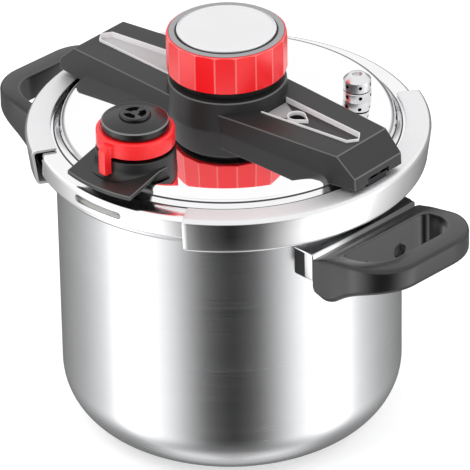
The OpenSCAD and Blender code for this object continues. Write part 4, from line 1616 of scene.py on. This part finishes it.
@dataclass
class Bridge:
    """The black hub and arms over the lid, with a bright tray let into each arm."""

    shop: Workshop
    lid: Lid
    hub_top_r: float = 38.0
    hub_foot_r: float = 39.8
    half_hub: float = 34.5
    half_end: float = 22.6
    tip_back: float = 14.0
    top_drop: float = 8.0
    tip_drop: float = 9.0
    nose: float = 10.0
    nose_foot: float = 2.0
    lift: float = 37.3
    edge: float = 0.55
    tray_depth: float = 2.6
    tray_proud: float = 1.8
    tray_wall: float = 0.55
    tray_floor: float = 0.6
    # Where the right tray's floor turns to painted deep shade.
    tray_shade_x: float = 52.0
    tray_half_in: float = 12.4
    tray_half_out: float = 6.5
    tray_point: float = 4.5
    tray_gap: float = 0.35
    hole_x: float = 58.0
    hole_r: float = 5.3
    hole_point: float = 1.65
    collar: float = 0.65
    end_flare: float = 1.3
    cam_room_r: float = 35.0
    cam_room_h: float = 4.1
    post_bore: float = 8.8
    channel_half: float = 10.0

    def __post_init__(self) -> None:
        """Reads the hub's height and the arms' reach from the frame."""
        self.hub_top = self.shop.top("bridge_housing")
        self.reach = self.lid.reach + 0.4
        self.tip_x = self.reach - self.tip_back
        self.arm_top = self.hub_top - self.tip_drop
        self.tray_in = self.hub_top_r + 1
        self.tray_out = self.tip_x - 2

    def _arm(self) -> Solid:
        """One arm, tapering in plan and sloping at its end.

        Returns:
            The closed solid, along X.
        """
        end = self.half_end + self.end_flare
        plan = [(0, -self.half_hub), (self.tip_x, -end), (self.reach, -self.half_end)]
        plan += [(x, -y) for x, y in reversed(plan)]
        low = self.lid.top
        side = [(0, low - 5), (self.reach - self.lift, low - 5), (self.reach - self.lift, low)]
        side += [(self.reach, low + self.nose_foot), (self.reach - 0.5, low + self.nose)]
        side += [(self.tip_x, self.arm_top), (self.hub_top_r, self.hub_top - self.top_drop)]
        side += [(0, self.hub_top - self.top_drop)]
        solid = combine(prism(plan, low - 10, self.hub_top), across(side, 60), Join.MEET)
        bmesh.ops.dissolve_limit(solid, angle_limit=0.01, verts=solid.verts, edges=solid.edges)
        # The rounds take index 1, the painted edge highlight.
        return soften(solid, self.edge, 2, 12, 1)

    def _tray_plan(self, inset: float, open_end: float = 0.0) -> list[Point]:
        """The tray's outline in plan, from the hub to the pointed tip.

        Args:
            inset: How far it is drawn in on every side.
            open_end: How far it then runs on towards the hub.

        Returns:
            The outline's five corners.
        """
        near, far = self.tray_half_in - inset, self.tray_half_out - inset
        shoulder = self.tray_out - self.tray_point - inset / 2
        start = self.tray_in + inset - open_end
        tip = self.tray_out - inset
        return [(start, -near), (shoulder, -far), (tip, 0), (shoulder, far), (start, near)]

    def _hub(self) -> Solid:
        """The hub with a softly rounded top edge, whose band just under the top carries a painted
        highlight.

        Returns:
            The closed solid.
        """
        profile = [(0, self.lid.top), (self.hub_foot_r, self.lid.top)]
        profile += [(self.hub_top_r + 0.12, self.hub_top - 2.5)]
        profile += arc(self.hub_top_r - 1.2, self.hub_top - 1.2, 1.2, 3, 90, 10)
        profile += [(0, self.hub_top)]
        hub = lathe(profile)
        # The band just under the top edge takes index 1, a painted highlight line.
        for face in hub.faces:
            if self.hub_top - 1.0 < face.calc_center_median().z < self.hub_top - 0.1:
                face.material_index = 1
        return hub

    def _channel(self) -> Solid:
        """The channel of the slide bars, through both arms.

        Returns:
            The cutter, in place.
        """
        roof = self.shop.top("slide_bar_right") + 0.9
        bend, low = self.lid.flat_r + 7.9, self.lid.top
        right = [(bend + 40, low + 4), (bend + 11, low + 4.5), (bend, roof)]
        left = [(-x, z) for x, z in reversed(right)]
        outline = [(right[0][0], UNDER_LID), *right, *left, (left[-1][0], UNDER_LID)]
        return across(outline, self.channel_half)

    def _hole_plan(self, grow: float) -> list[Point]:
        """The pear-shaped hole over the pressure pin, pointing outwards.

        Args:
            grow: How far it is widened on every side.

        Returns:
            The outline's points.
        """
        radius = self.hole_r + grow
        point = (self.hole_x + radius * self.hole_point, 0)
        return [*arc(self.hole_x, 0, radius, 42, 318, 24), point]

    def build(self) -> None:
        """Builds the housing and both trays."""
        housing = self._hub()
        for side in Side:
            arm = self._arm()
            arm.transform(Matrix.Rotation(side.value, 4, "Z"))
            housing = combine(housing, arm, Join.ADD)
        housing = combine(housing, self.lid.solid_below(), Join.CUT)
        cam_roof = self.shop.top("slide_bar_right") + self.cam_room_h
        housing = combine(housing, core(self.cam_room_r, UNDER_LID, cam_roof), Join.CUT)
        housing = combine(housing, core(self.post_bore, UNDER_LID, OVER_LID, 64), Join.CUT)
        housing = combine(housing, self._channel(), Join.CUT)
        floor = self.arm_top - self.tray_depth
        for side in Side:
            trough = prism(self._tray_plan(-self.tray_gap), floor, self.hub_top + 5)
            trough.transform(Matrix.Rotation(side.value, 4, "Z"))
            housing = combine(housing, trough, Join.CUT)
        housing = combine(housing, prism(self._hole_plan(0), 200, 260), Join.CUT)
        finishes = self.shop.finishes
        self.shop.piece(
            "hub_and_arms",
            housing,
            finishes.arm,
            "lid",
            "arm_black",
            ["bridge_housing"],
            on_lid=True,
            others=(finishes.arm_edge_highlight,),
            sharp=math.radians(12),
        )
        for side in Side:
            self._tray(side, floor)

    def _tray(self, side: Side, floor: float) -> None:
        """Builds the bright tray of one arm; its floor is painted grey, and near black on the right
        arm towards its tip, as painted shade.

        Args:
            side: The end of the canner that it is on.
            floor: Height of its underside.
        """
        rim, inside = self.arm_top + self.tray_proud, floor + self.tray_floor
        tray = prism(self._tray_plan(0), floor, rim)
        hollow = prism(self._tray_plan(self.tray_wall, 3.0), inside, rim + 5)
        tray = combine(tray, hollow, Join.CUT)
        slab = block((self.tray_shade_x, -20, floor), (self.tip_x, 20, inside - 0.05))
        slab = combine(slab, prism(self._tray_plan(0.3), floor, rim), Join.MEET)
        tray = combine(tray, slab, Join.ADD)
        if side is Side.RIGHT:
            collar = prism(self._hole_plan(self.collar), floor, rim - 1.4)
            tray = combine(tray, collar, Join.ADD)
            tray = combine(tray, prism(self._hole_plan(0), floor - 5, rim + 5), Join.CUT)
        tray = soften(tray, 0.22, 2, 40)
        # Floor faces take index 1, painted grey shade; on the right arm, those past tray_shade_x
        # take index 2, painted deep shade.
        for face in tray.faces:
            centre = face.calc_center_median()
            on_floor = face.normal.z > 0.9 and centre.z < inside + 0.4
            in_shade = side is Side.RIGHT and centre.x > self.tray_shade_x
            face.material_index = (2 if in_shade else 1) if on_floor else 0
        word = side.word
        finishes = self.shop.finishes
        self.shop.piece(
            f"arm_tray_{word}",
            tray,
            finishes.trim,
            "lid",
            "trim_silver",
            [f"arm_trim_{word}"],
            on_lid=True,
            side=side,
            others=(finishes.trim_floor_painted_shade, finishes.trim_far_floor_painted_shade),
        )


@dataclass
class Knob:
    """The red knob that opens and shuts the clamp."""

    shop: Workshop
    flats: int = 18
    flat_r: float = 38.0
    edge: float = 3.0
    grip_wall: float = 3.75
    # How near a round, as a share of one flat's turn, a face must lie to get the painted highlight.
    ridge_share: float = 0.03

    def build(self) -> None:
        """Builds the core, the grip, the ring and the disc."""
        finishes = self.shop.finishes
        foot, top = self.shop.foot("knob_grip"), self.shop.top("knob_grip")
        low = self.shop.top("bridge_housing") + 0.3
        r = self.flat_r
        neck = [(9, low), (r - 5, low), (r - 5, foot - 1.6), (r - 2.6, foot - 1.2)]
        neck += [(r - 2, foot - 0.9), (r - 2, foot), (r - 3.8, foot + 0.1)]
        neck += [(r - 3.8, top - 0.6), (12, top - 0.6), (12, foot - 2), (9, foot - 2)]
        self.shop.piece(
            "knob_neck",
            lathe(neck),
            finishes.knob_core,
            "knob",
            "knob_black",
            ["knob_core"],
            on_lid=True,
        )
        self._grip(foot, top)
        ring = [(r - 5.1, top - 0.4), (r - 1.2, top - 0.4), (r - 1.0, top + 0.3)]
        ring += [(r - 1.4, top + 0.7), (r - 4.7, top + 0.7), (r - 5.1, top + 0.4)]
        self.shop.piece(
            "knob_bezel",
            lathe(ring),
            finishes.ring,
            "knob",
            "ring_grey",
            ["knob_ring"],
            on_lid=True,
        )
        reach, face = self.shop.radius("knob_disc"), self.shop.top("knob_disc")
        disc = [(0, top - 0.6), (reach, top - 0.6), (reach, face - 0.9)]
        disc += arc(reach - 0.5, face - 0.9, 0.5, 0, 80, 3) + [(reach - 1.5, face - 0.25)]
        disc += arc(reach - 2.2, face - 0.4, 0.4, 60, 90, 3) + [(reach - 6, face), (0, face)]
        self.shop.piece(
            "knob_face",
            lathe(disc),
            finishes.disc,
            "knob",
            "disc_aluminium",
            ["knob_disc"],
            on_lid=True,
        )

    def _grip(self, foot: float, top: float) -> None:
        """Builds the grip: flats with narrow rounds between them, eased at top and foot. The rounds
        and the top edge get a painted highlight.

        Args:
            foot: Height of its foot.
            top: Height of its top.
        """
        corner = self.flat_r / math.cos(math.pi / self.flats)
        grip = Repeater.fluted(self.flats, corner, self.edge, top - foot, self.shop.finishes.grip)
        grip.transform(Matrix.Translation((0, 0, foot)))
        over = corner + 0.4
        envelope = [(0, foot), (over - 0.9, foot), (over, foot + 0.9), (over, top - 2.0)]
        envelope += arc(over - 2.0, top - 2.0, 2.0, 10, 80, 5)
        envelope += [(self.flat_r - 2.2, top), (0, top)]
        grip = combine(grip, lathe(envelope), Join.MEET)
        bore = self.flat_r - self.grip_wall
        grip = combine(grip, core(bore, foot - 2, top + 2), Join.CUT)
        step = 2 * math.pi / self.flats
        # The narrow rounds and the band round the top edge take index 1, the painted highlight.
        for face in grip.faces:
            centre = face.calc_center_median()
            off_ridge = abs((math.atan2(centre.y, centre.x) / step + 0.5) % 1.0 - 0.5)
            outside = face.normal.x * centre.x + face.normal.y * centre.y > 0
            on_ridge = outside and off_ridge < self.ridge_share and abs(face.normal.z) < 0.5
            on_brim = 0.5 < face.normal.z < 0.93 and centre.z > top - 2.2
            face.material_index = 1 if on_ridge or on_brim else 0
        self.shop.piece(
            "knob_flats",
            grip,
            self.shop.finishes.grip,
            "knob",
            "grip_red",
            ["knob_grip"],
            on_lid=True,
            others=(self.shop.finishes.grip_ridge_highlight,),
            sharp=math.radians(6),
        )


@dataclass
class PressureValve:
    """The working valve: drum and sloping plate, red selector ring and black cap."""

    shop: Workshop
    lid: Lid
    base_r: float = 25.5
    drum_h: float = 18.4
    neck_r: float = 18.0
    plate_thick: float = 2.8
    plate_top: float = 5.0
    plate_rise: float = 7.0
    plate_bend: float = 30.0
    block_half: float = 13.0
    block_back: float = 12.0
    bore: float = 11.4
    bore_roof: float = 1.8
    ring_gap: float = 2.1
    ring_r: float = 24.9
    ring_bore: float = 14.3
    fin_reach: float = 31.5
    fin_w: float = 5.2
    fin_root: float = 3.4
    cap_r: float = 21.4
    cap_h: float = 5.5

    def __post_init__(self) -> None:
        """Reads the valve's place and heights from the frame."""
        self.place = self.shop.middle("valve_cap")
        self.offset = -self.place.y
        self.drum_top = self.lid.top + self.drum_h
        self.ring_top = self.shop.top("selector_ring")
        self.cap_z = self.ring_top + 0.3

    def _at(self, solid: Solid) -> Solid:
        """Moves a solid turned about the valve's axis to its place."""
        solid.transform(Matrix.Translation(self.place))
        return solid

    def _plate(self, half: float, depth: float, reach: float) -> Solid:
        """The sloping plate, or the block under it.

        Args:
            half: Half of its width.
            depth: Its thickness, measured down.
            reach: Radius of its front edge about the lid's middle.

        Returns:
            The closed solid.
        """
        top = self.lid.top + self.plate_top
        bend = reach - self.plate_bend
        tip, back, high = reach + 2, self.offset, top + self.plate_rise
        side = [(tip, top - depth - 0.5), (tip, top - 0.5), (bend, high), (back, high)]
        side += [(back, high - depth), (bend, high - depth)]
        wedge = across(side, half)
        wedge.transform(Matrix.Rotation(math.radians(-90), 4, "Z"))
        return combine(wedge, core(reach, UNDER_LID, OVER_LID, FINE_STEPS), Join.MEET)

    def build(self) -> None:
        """Builds the base, the selector ring and the cap."""
        self._base()
        self._ring()
        self._cap()

    def _base(self) -> None:
        """Builds the drum that flares into its plate."""
        low, top, radius = self.lid.top, self.drum_top, self.base_r
        flare_z = self.lid.top + self.plate_top + self.plate_rise
        profile = [(0, low), (radius - 0.1, low), (radius - 0.1, flare_z)]
        profile += arc(radius - 1.0, top - 1.0, 0.9, 0, 90, 9)
        profile += [(self.neck_r, top), (self.neck_r, top + 0.5), (self.ring_bore - 0.3, top + 0.5)]
        profile += [(self.ring_bore - 0.3, self.cap_z), (0, self.cap_z)]
        drum = self._at(lathe(profile, VALVE_STEPS))
        reach = self.lid.reach + 0.1
        plate = self._plate(self.base_r + 1, self.plate_thick, reach)
        # The plate's rounds take index 1, the painted edge highlight.
        plate = soften(plate, 0.5, 2, 35, 1)
        flare = [(0, flare_z - 4.5), (radius + 5, flare_z - 4.5)]
        flare += arc(radius + 4.6, flare_z + 0.2, 4.7, 269, 181, 12) + [(0, flare_z + 0.2)]
        front = block((-40, -45, 200), (40, -2, 240))
        skirt = combine(lathe(flare, VALVE_STEPS), front, Join.MEET)
        drum = combine(drum, self._at(skirt), Join.ADD)
        block_below = self._plate(self.block_half, 40.0, reach - self.block_back)
        base = combine(combine(drum, plate, Join.ADD), block_below, Join.ADD)
        base = combine(base, self.lid.solid_below(), Join.CUT)
        roof = self.lid.height(self.offset) + self.bore_roof
        bore = [(0, 150), (self.bore, 150), (self.bore, roof), (8, roof), (8, 260), (0, 260)]
        hollow = self._at(lathe(bore, 64))
        base = combine(base, hollow, Join.CUT)
        # Upward faces on top of the drum and its neck, under the selector ring, take index 2,
        # painted shade in the gap.
        for face in base.faces:
            if face.normal.z > 0.99 and face.calc_center_median().z > top - 0.2:
                face.material_index = 2
        self.shop.piece(
            "valve_drum",
            base,
            self.shop.finishes.valve,
            "lid",
            "valve_black",
            ["valve_base"],
            on_lid=True,
            others=(self.shop.finishes.arm_edge_highlight, self.shop.finishes.seam),
            sharp=math.radians(12),
        )

    def _ring(self) -> None:
        """Builds the red ring with the fin that shows its setting."""
        low, top, radius = self.drum_top + self.ring_gap, self.ring_top, self.ring_r
        profile = [(self.ring_bore, low), (radius - 0.8, low)]
        profile += arc(radius - 0.8, low + 0.8, 0.8, -80, 0, 4)
        profile += arc(radius - 1.3, top - 1.3, 1.3, 0, 90, 6)
        profile += [(self.cap_r + 1.0, top), (self.cap_r + 0.6, top - 0.5)]
        profile += [(self.ring_bore, top - 0.5)]
        ring = lathe(profile, VALVE_STEPS)
        foot = self.shop.foot("selector_ring")
        tip, heel, root_x = -self.fin_reach, -self.base_r - 0.6, -self.ring_bore - 4
        side = [(tip, foot, 1.2), (heel, foot, 0.5), (heel, low + 0.5, 0.5)]
        side += [(root_x, low + 0.5, 0), (root_x, top - 2.5, 0), (tip, top - 2.5, 3.0)]
        fin = across(rounded(side), self.fin_w * 2)
        fin.transform(Matrix.Rotation(math.radians(90), 4, "Z"))
        half, run, curve = self.fin_w / 2, radius - 0.6, self.fin_root
        root = arc(half + curve, -run - curve, curve, 90, 180, 6)
        plan = [(-half, -50), (half, -50), *reversed(root), (half + curve, -5), (-half - curve, -5)]
        plan += [(-x, y) for x, y in root]
        fin = soften(combine(fin, prism(plan, foot - 1, top + 1), Join.MEET), 0.7, 3, 40)
        ring = self._at(combine(ring, fin, Join.ADD))
        self.shop.piece(
            "selector",
            ring,
            self.shop.finishes.selector,
            "selector",
            "selector_red",
            ["selector_ring"],
            on_lid=True,
        )

    def _cap(self) -> None:
        """Builds the cap with its raised middle ring and three windows, and a painted highlight
        round its brim.
        """
        low, radius = self.cap_z, self.cap_r
        top = low + self.cap_h
        profile = [(0, low), (radius - 0.4, low), (radius, low + 0.4)]
        profile += arc(radius - 1.1, top - 1.1, 1.1, 0, 78, 6)
        profile += [(radius - 3, top + 0.5), (14, top + 1.9), (10.2, top + 2.3)]
        profile += arc(9.7, top + 2.7, 0.45, -60, 0, 2) + arc(9.2, top + 3.5, 0.7, 0, 90, 4)
        profile += [(7.4, top + 3.9), (0, top + 3.9)]
        cap = lathe(profile, VALVE_STEPS)
        near, far, sill, over = 2.7, 7.2, top + 1.4, top + 8
        section = [(near, sill), (far, sill), (far, over), (near, over)]
        window = lathe(section, VALVE_STEPS, -42, 84)
        windows = Repeater.round_axis(window, 3, 30, self.shop.finishes.cap)
        cap = combine(cap, windows, Join.CUT)
        # Faces on the brim take index 1, the painted highlight.
        for face in cap.faces:
            centre = face.calc_center_median()
            at_brim = math.hypot(centre.x, centre.y) > radius - 1.2 and top - 0.8 < centre.z
            face.material_index = 1 if at_brim else 0
        finishes = self.shop.finishes
        self.shop.piece(
            "cap",
            self._at(cap),
            finishes.cap,
            "lid",
            "cap_black",
            ["valve_cap"],
            on_lid=True,
            others=(finishes.cap_edge_highlight,),
        )


@dataclass
class SafetyValve:
    """The turned steel safety valve."""

    shop: Workshop
    lid: Lid
    radius: float = 9.0
    seam: float = 7.0
    height: float = 17.4
    holes: int = 6
    hole_r: float = 1.25
    hole_turn: float = -25.0
    slope_h: float = 3.0
    slope_run: float = 3.5
    low_holes: float = 3.9
    high_holes: float = 11.3

    def build(self) -> None:
        """Builds the body and the crown above the seam."""
        place = self.shop.middle("safety_crown")
        base = self.lid.height(math.hypot(place.x, place.y))
        seam, top = base + self.seam, base + self.height
        r = self.radius
        body = [(0, base - 1), (r - 0.3, base - 1), (r, base + 0.3), (r, seam - 0.9)]
        body += [(r - 0.4, seam - 0.5), (r - 1.4, seam - 0.4), (r - 1.4, seam), (0, seam)]
        slope = top - self.slope_h
        crown = [(0, seam), (r - 0.5, seam), (r - 0.1, seam + 0.4), (r - 0.1, slope - 0.3)]
        crown += [(r - 0.3, slope), (r - self.slope_run, top - 0.2)]
        crown += [(r - self.slope_run - 0.4, top), (3.3, top)]
        crown += [(3.1, top - 0.3), (3.1, top - 1.6), (0, top - 1.6)]
        finish = self.shop.finishes.safety
        for name, profile, z, node in (
            ("safety_base", body, base + self.low_holes, "safety_body"),
            ("safety_cap", crown, base + self.high_holes, "safety_crown"),
        ):
            bore = drill(self.hole_r, Vector((r - 3, 0, z)), Vector((r + 3, 0, z)), 20)
            bores = Repeater.round_axis(bore, self.holes, self.hole_turn, finish)
            solid = combine(lathe(profile, 96), bores, Join.CUT)
            # Faces inside the holes take index 1, painted shade; those at the seam take index 1
            # too, a dark joint.
            for face in solid.faces:
                centre = face.calc_center_median()
                inside = math.hypot(centre.x, centre.y) < r - 0.35 and base < centre.z < slope - 0.5
                face.material_index = 1 if inside or abs(centre.z - seam) < 0.5 else 0
            solid.transform(Matrix.Rotation(math.atan2(place.y, place.x), 4, "Z"))
            solid.transform(Matrix.Translation(place))
            self.shop.piece(
                name,
                solid,
                finish,
                "lid",
                "safety_steel",
                [node],
                on_lid=True,
                others=(self.shop.finishes.seam,),
            )


@dataclass
class HandleScrews:
    """The four screws that hold the side handles to their brackets."""

    shop: Workshop
    screw_y: float = 15.5
    shank_r: float = 2.5
    head_r: float = 4.7
    head_h: float = 3.4
    head_side: float = 1.8
    dome_r: float = 8.0
    slot_long: float = 3.4
    slot_half: float = 0.6
    slot_deep: float = 1.6
    foot_x: float = 112.0

    def build(self) -> None:
        """Sets one cross-head screw at each of the four places."""
        low, high = (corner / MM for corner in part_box("handle_screws"))
        z = (low.z + high.z) / 2
        crown = high.x - self.foot_x
        under = crown - self.head_h
        dome = arc(0, crown - self.dome_r, self.dome_r, 54, 90, 6)
        profile = [(0, 0.0), (self.shank_r, 0.0), (self.shank_r, under), (self.head_r, under)]
        profile += [(self.head_r, under + self.head_side), *dome]
        screw = lathe(profile, 48)
        for turn in (0, 90):
            near = (-self.slot_long, -self.slot_half, crown - self.slot_deep)
            slot = soften(block(near, (self.slot_long, self.slot_half, crown + 2)), 0.1, 1)
            slot.transform(Matrix.Rotation(math.radians(turn), 4, "Z"))
            screw = combine(screw, slot, Join.CUT)
        screw.transform(
            Matrix.Translation((self.foot_x, 0, z)) @ Matrix.Rotation(math.radians(90), 4, "Y")
        )
        whole = []
        for y in (-self.screw_y, self.screw_y):
            copy = screw.copy()
            copy.transform(Matrix.Translation((0, y, 0)))
            whole.append(copy)
        screw.free()
        pair = together(*whole)
        four = Repeater.round_axis(pair, 2, 0, self.shop.finishes.screw)
        finish = self.shop.finishes.screw
        self.shop.piece("cross_head_screws", four, finish, "pot", "screw_steel", ["handle_screws"])


# --- Studio --------------------------------------------------------------------------------


@dataclass
class Studio:
    """The pale floor, the light and the camera.

    The camera stands so many radii of the pot away and aims a few millimetres right of and below
    a point on the lid's axis, which lies aim_below metres under the top of the hub. Brightness is
    measured against plain white: peak and overhead in what the metal sees, open_air in what lights
    the rest, with open_air_seen on top where the surroundings themselves are seen.
    """

    shop: Workshop
    azimuth: float = 45.8
    elevation: float = 29.15
    roll: float = -1.05
    radii_away: float = 30.0
    aim_below: float = 0.0313
    aim_right: float = 4.47
    aim_down: float = 74.7
    lens: float = 399.5
    floor_size: float = 12.0
    floor_glow: float = 0.32
    peak: float = 2.8
    overhead: float = 1.1
    open_air: float = 0.88
    open_air_seen: float = 0.12

    def build(self) -> None:
        """Sets up the camera, the world, the floor and the lamps."""
        self._camera()
        self._world()
        self._floor()
        self._lamps()
        bpy.context.scene.view_settings.view_transform = "Standard"

    def _turned(self, x: float, y: float, z: float) -> Vector:
        """A direction given as right, away and up from the camera's side."""
        a = math.radians(self.azimuth)
        return Vector((x * math.cos(a) - y * math.sin(a), x * math.sin(a) + y * math.cos(a), z))

    def _camera(self) -> None:
        """Places a long-lens camera that looks down on the canner."""
        e, roll = math.radians(self.elevation), math.radians(self.roll)
        level = self.shop.top("bridge_housing") * MM - self.aim_below
        radius = self.shop.radius("pot_body") * MM
        ahead = self._turned(0, math.cos(e), -math.sin(e))
        right, up = self._turned(1, 0, 0), self._turned(0, math.sin(e), math.cos(e))
        distance = self.radii_away * radius
        place = Vector((0, 0, level)) - ahead * distance
        aim_x = self.aim_right * math.cos(roll) + self.aim_down * math.sin(roll)
        aim_y = -self.aim_right * math.sin(roll) + self.aim_down * math.cos(roll)
        look = (ahead * distance + right * (aim_x * MM) - up * (aim_y * MM)).normalized()
        across_image = right * math.cos(roll) + up * math.sin(roll)
        across_image = (across_image - look * across_image.dot(look)).normalized()
        down_image = across_image.cross(look)
        camera = bpy.data.cameras.new("studio camera")
        camera.lens = self.lens
        camera.clip_end = 100.0
        holder = bpy.data.objects.new("studio camera", camera)
        bpy.context.scene.collection.objects.link(holder)
        matrix = Matrix((across_image, down_image, -look)).transposed().to_4x4()
        matrix.translation = place
        holder.matrix_world = matrix
        bpy.context.scene.camera = holder

    def _world(self) -> None:
        """A white studio in which polished metal sees bright sides and a dark front and back."""
        world = bpy.data.worlds.new("studio")
        bpy.context.scene.world = world
        world.use_nodes = True
        world.cycles.sampling_method = "NONE"
        world.node_tree.nodes.clear()
        graph = Graph(world.node_tree)
        way = graph.add("ShaderNodeTexCoord").outputs["Generated"]
        x, y, z = graph.parts(way)
        flat = graph.add("ShaderNodeCombineXYZ")
        graph.feed(flat.inputs[0], x)
        graph.feed(flat.inputs[1], y)
        unit = graph.add("ShaderNodeVectorMath", operation="NORMALIZE")
        graph.feed(unit.inputs[0], flat.outputs[0])
        dot = graph.add("ShaderNodeVectorMath", operation="DOT_PRODUCT")
        graph.feed(dot.inputs[0], unit.outputs[0])
        graph.feed(dot.inputs[1], self._turned(0, -1, 0))
        above_least = graph.math("MAXIMUM", dot.outputs["Value"], -1.0)
        angle = graph.math("ARCCOSINE", graph.math("MINIMUM", above_least, 1.0))
        ramp = graph.add("ShaderNodeValToRGB")
        elements = ramp.color_ramp.elements
        while len(elements) < len(SIDE_LIGHT):
            elements.new(0.5)
        for element, (degrees, level) in zip(elements, SIDE_LIGHT):
            share = level / self.peak
            element.position = degrees / 180
            element.color = (share, share, share, 1)
        graph.feed(ramp.inputs[0], graph.math("DIVIDE", angle, math.pi))
        sides = graph.math("MULTIPLY", ramp.outputs["Color"], self.peak)
        below = graph.ease(z, -0.85, -0.60, 1.0, 0.0)
        above = graph.ease(z, 0.05, 0.32, 0.0, 1.0)
        straight_down = graph.ease(z, -0.97, -0.88, 0.6, 0.15)
        low_level = graph.math("ADD", straight_down, graph.math("MULTIPLY", sides, 0.3))
        level = graph.between(above, graph.between(below, sides, low_level), self.overhead)
        path = graph.add("ShaderNodeLightPath").outputs
        shiny = graph.math("MAXIMUM", path["Is Glossy Ray"], path["Is Transmission Ray"])
        seen = graph.math("MULTIPLY", path["Is Camera Ray"], self.open_air_seen)
        plain = graph.math("ADD", seen, self.open_air)
        strength = graph.between(shiny, plain, level)
        background = graph.add("ShaderNodeBackground")
        background.inputs["Color"].default_value = (1, 1, 1, 1)
        graph.feed(background.inputs["Strength"], strength)
        out = graph.add("ShaderNodeOutputWorld")
        graph.feed(out.inputs[0], background.outputs[0])

    def _floor(self) -> None:
        """A wide pale floor that shows white and keeps the canner's soft shadow."""
        steps, half = 24, self.floor_size / 2
        sheet = bmesh.new()
        bmesh.ops.create_grid(sheet, x_segments=steps, y_segments=steps, size=half)
        floor = loose_object(sheet, "floor")
        floor.location = (0, 0, -0.0004)
        material, graph, shader = fresh_material("pale floor")
        shader.inputs["Base Color"].default_value = (0.86, 0.86, 0.86, 1)
        shader.inputs["Roughness"].default_value = 0.9
        path = graph.add("ShaderNodeLightPath")
        glow = graph.math("MULTIPLY", path.outputs["Is Camera Ray"], self.floor_glow)
        shader.inputs["Emission Color"].default_value = (1, 1, 1, 1)
        graph.feed(shader.inputs["Emission Strength"], glow)
        floor.data.materials.clear()
        floor.data.materials.append(material)
        floor.visible_glossy = False

    def _lamps(self) -> None:
        """Soft lamps that model the black parts without showing in the steel."""
        for name, way, power, size in (
            ("key", (-0.9, -0.5, 1.5), 9.0, 1.2),
            ("fill", (1.3, -0.3, 0.8), 6.0, 1.4),
        ):
            lamp = bpy.data.lights.new(name, "AREA")
            lamp.energy = power
            lamp.size = size
            holder = bpy.data.objects.new(name, lamp)
            place = self._turned(*way)
            holder.location = place
            facing = (place - Vector((0, 0, 0.15))).to_track_quat("Z", "Y")
            holder.rotation_euler = facing.to_euler()
            bpy.context.scene.collection.objects.link(holder)
            holder.visible_glossy = False


def main() -> None:
    """Builds every sub-assembly in order and notes how many pieces are built."""
    logging.basicConfig(level=logging.INFO, format="%(name)s: %(message)s")
    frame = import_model()
    shop = Workshop(frame)
    lid = Lid(shop)
    Pot(shop).build()
    for side in Side:
        SideHandle(shop, side).build()
    HandleScrews(shop).build()
    lid.build()
    Clamps(shop).build()
    Bridge(shop, lid).build()
    Knob(shop).build()
    PressureValve(shop, lid).build()
    SafetyValve(shop, lid).build()
    Studio(shop).build()
    LOG.info("%d pieces are built", shop.count)


if __name__ == "__main__":
    main()
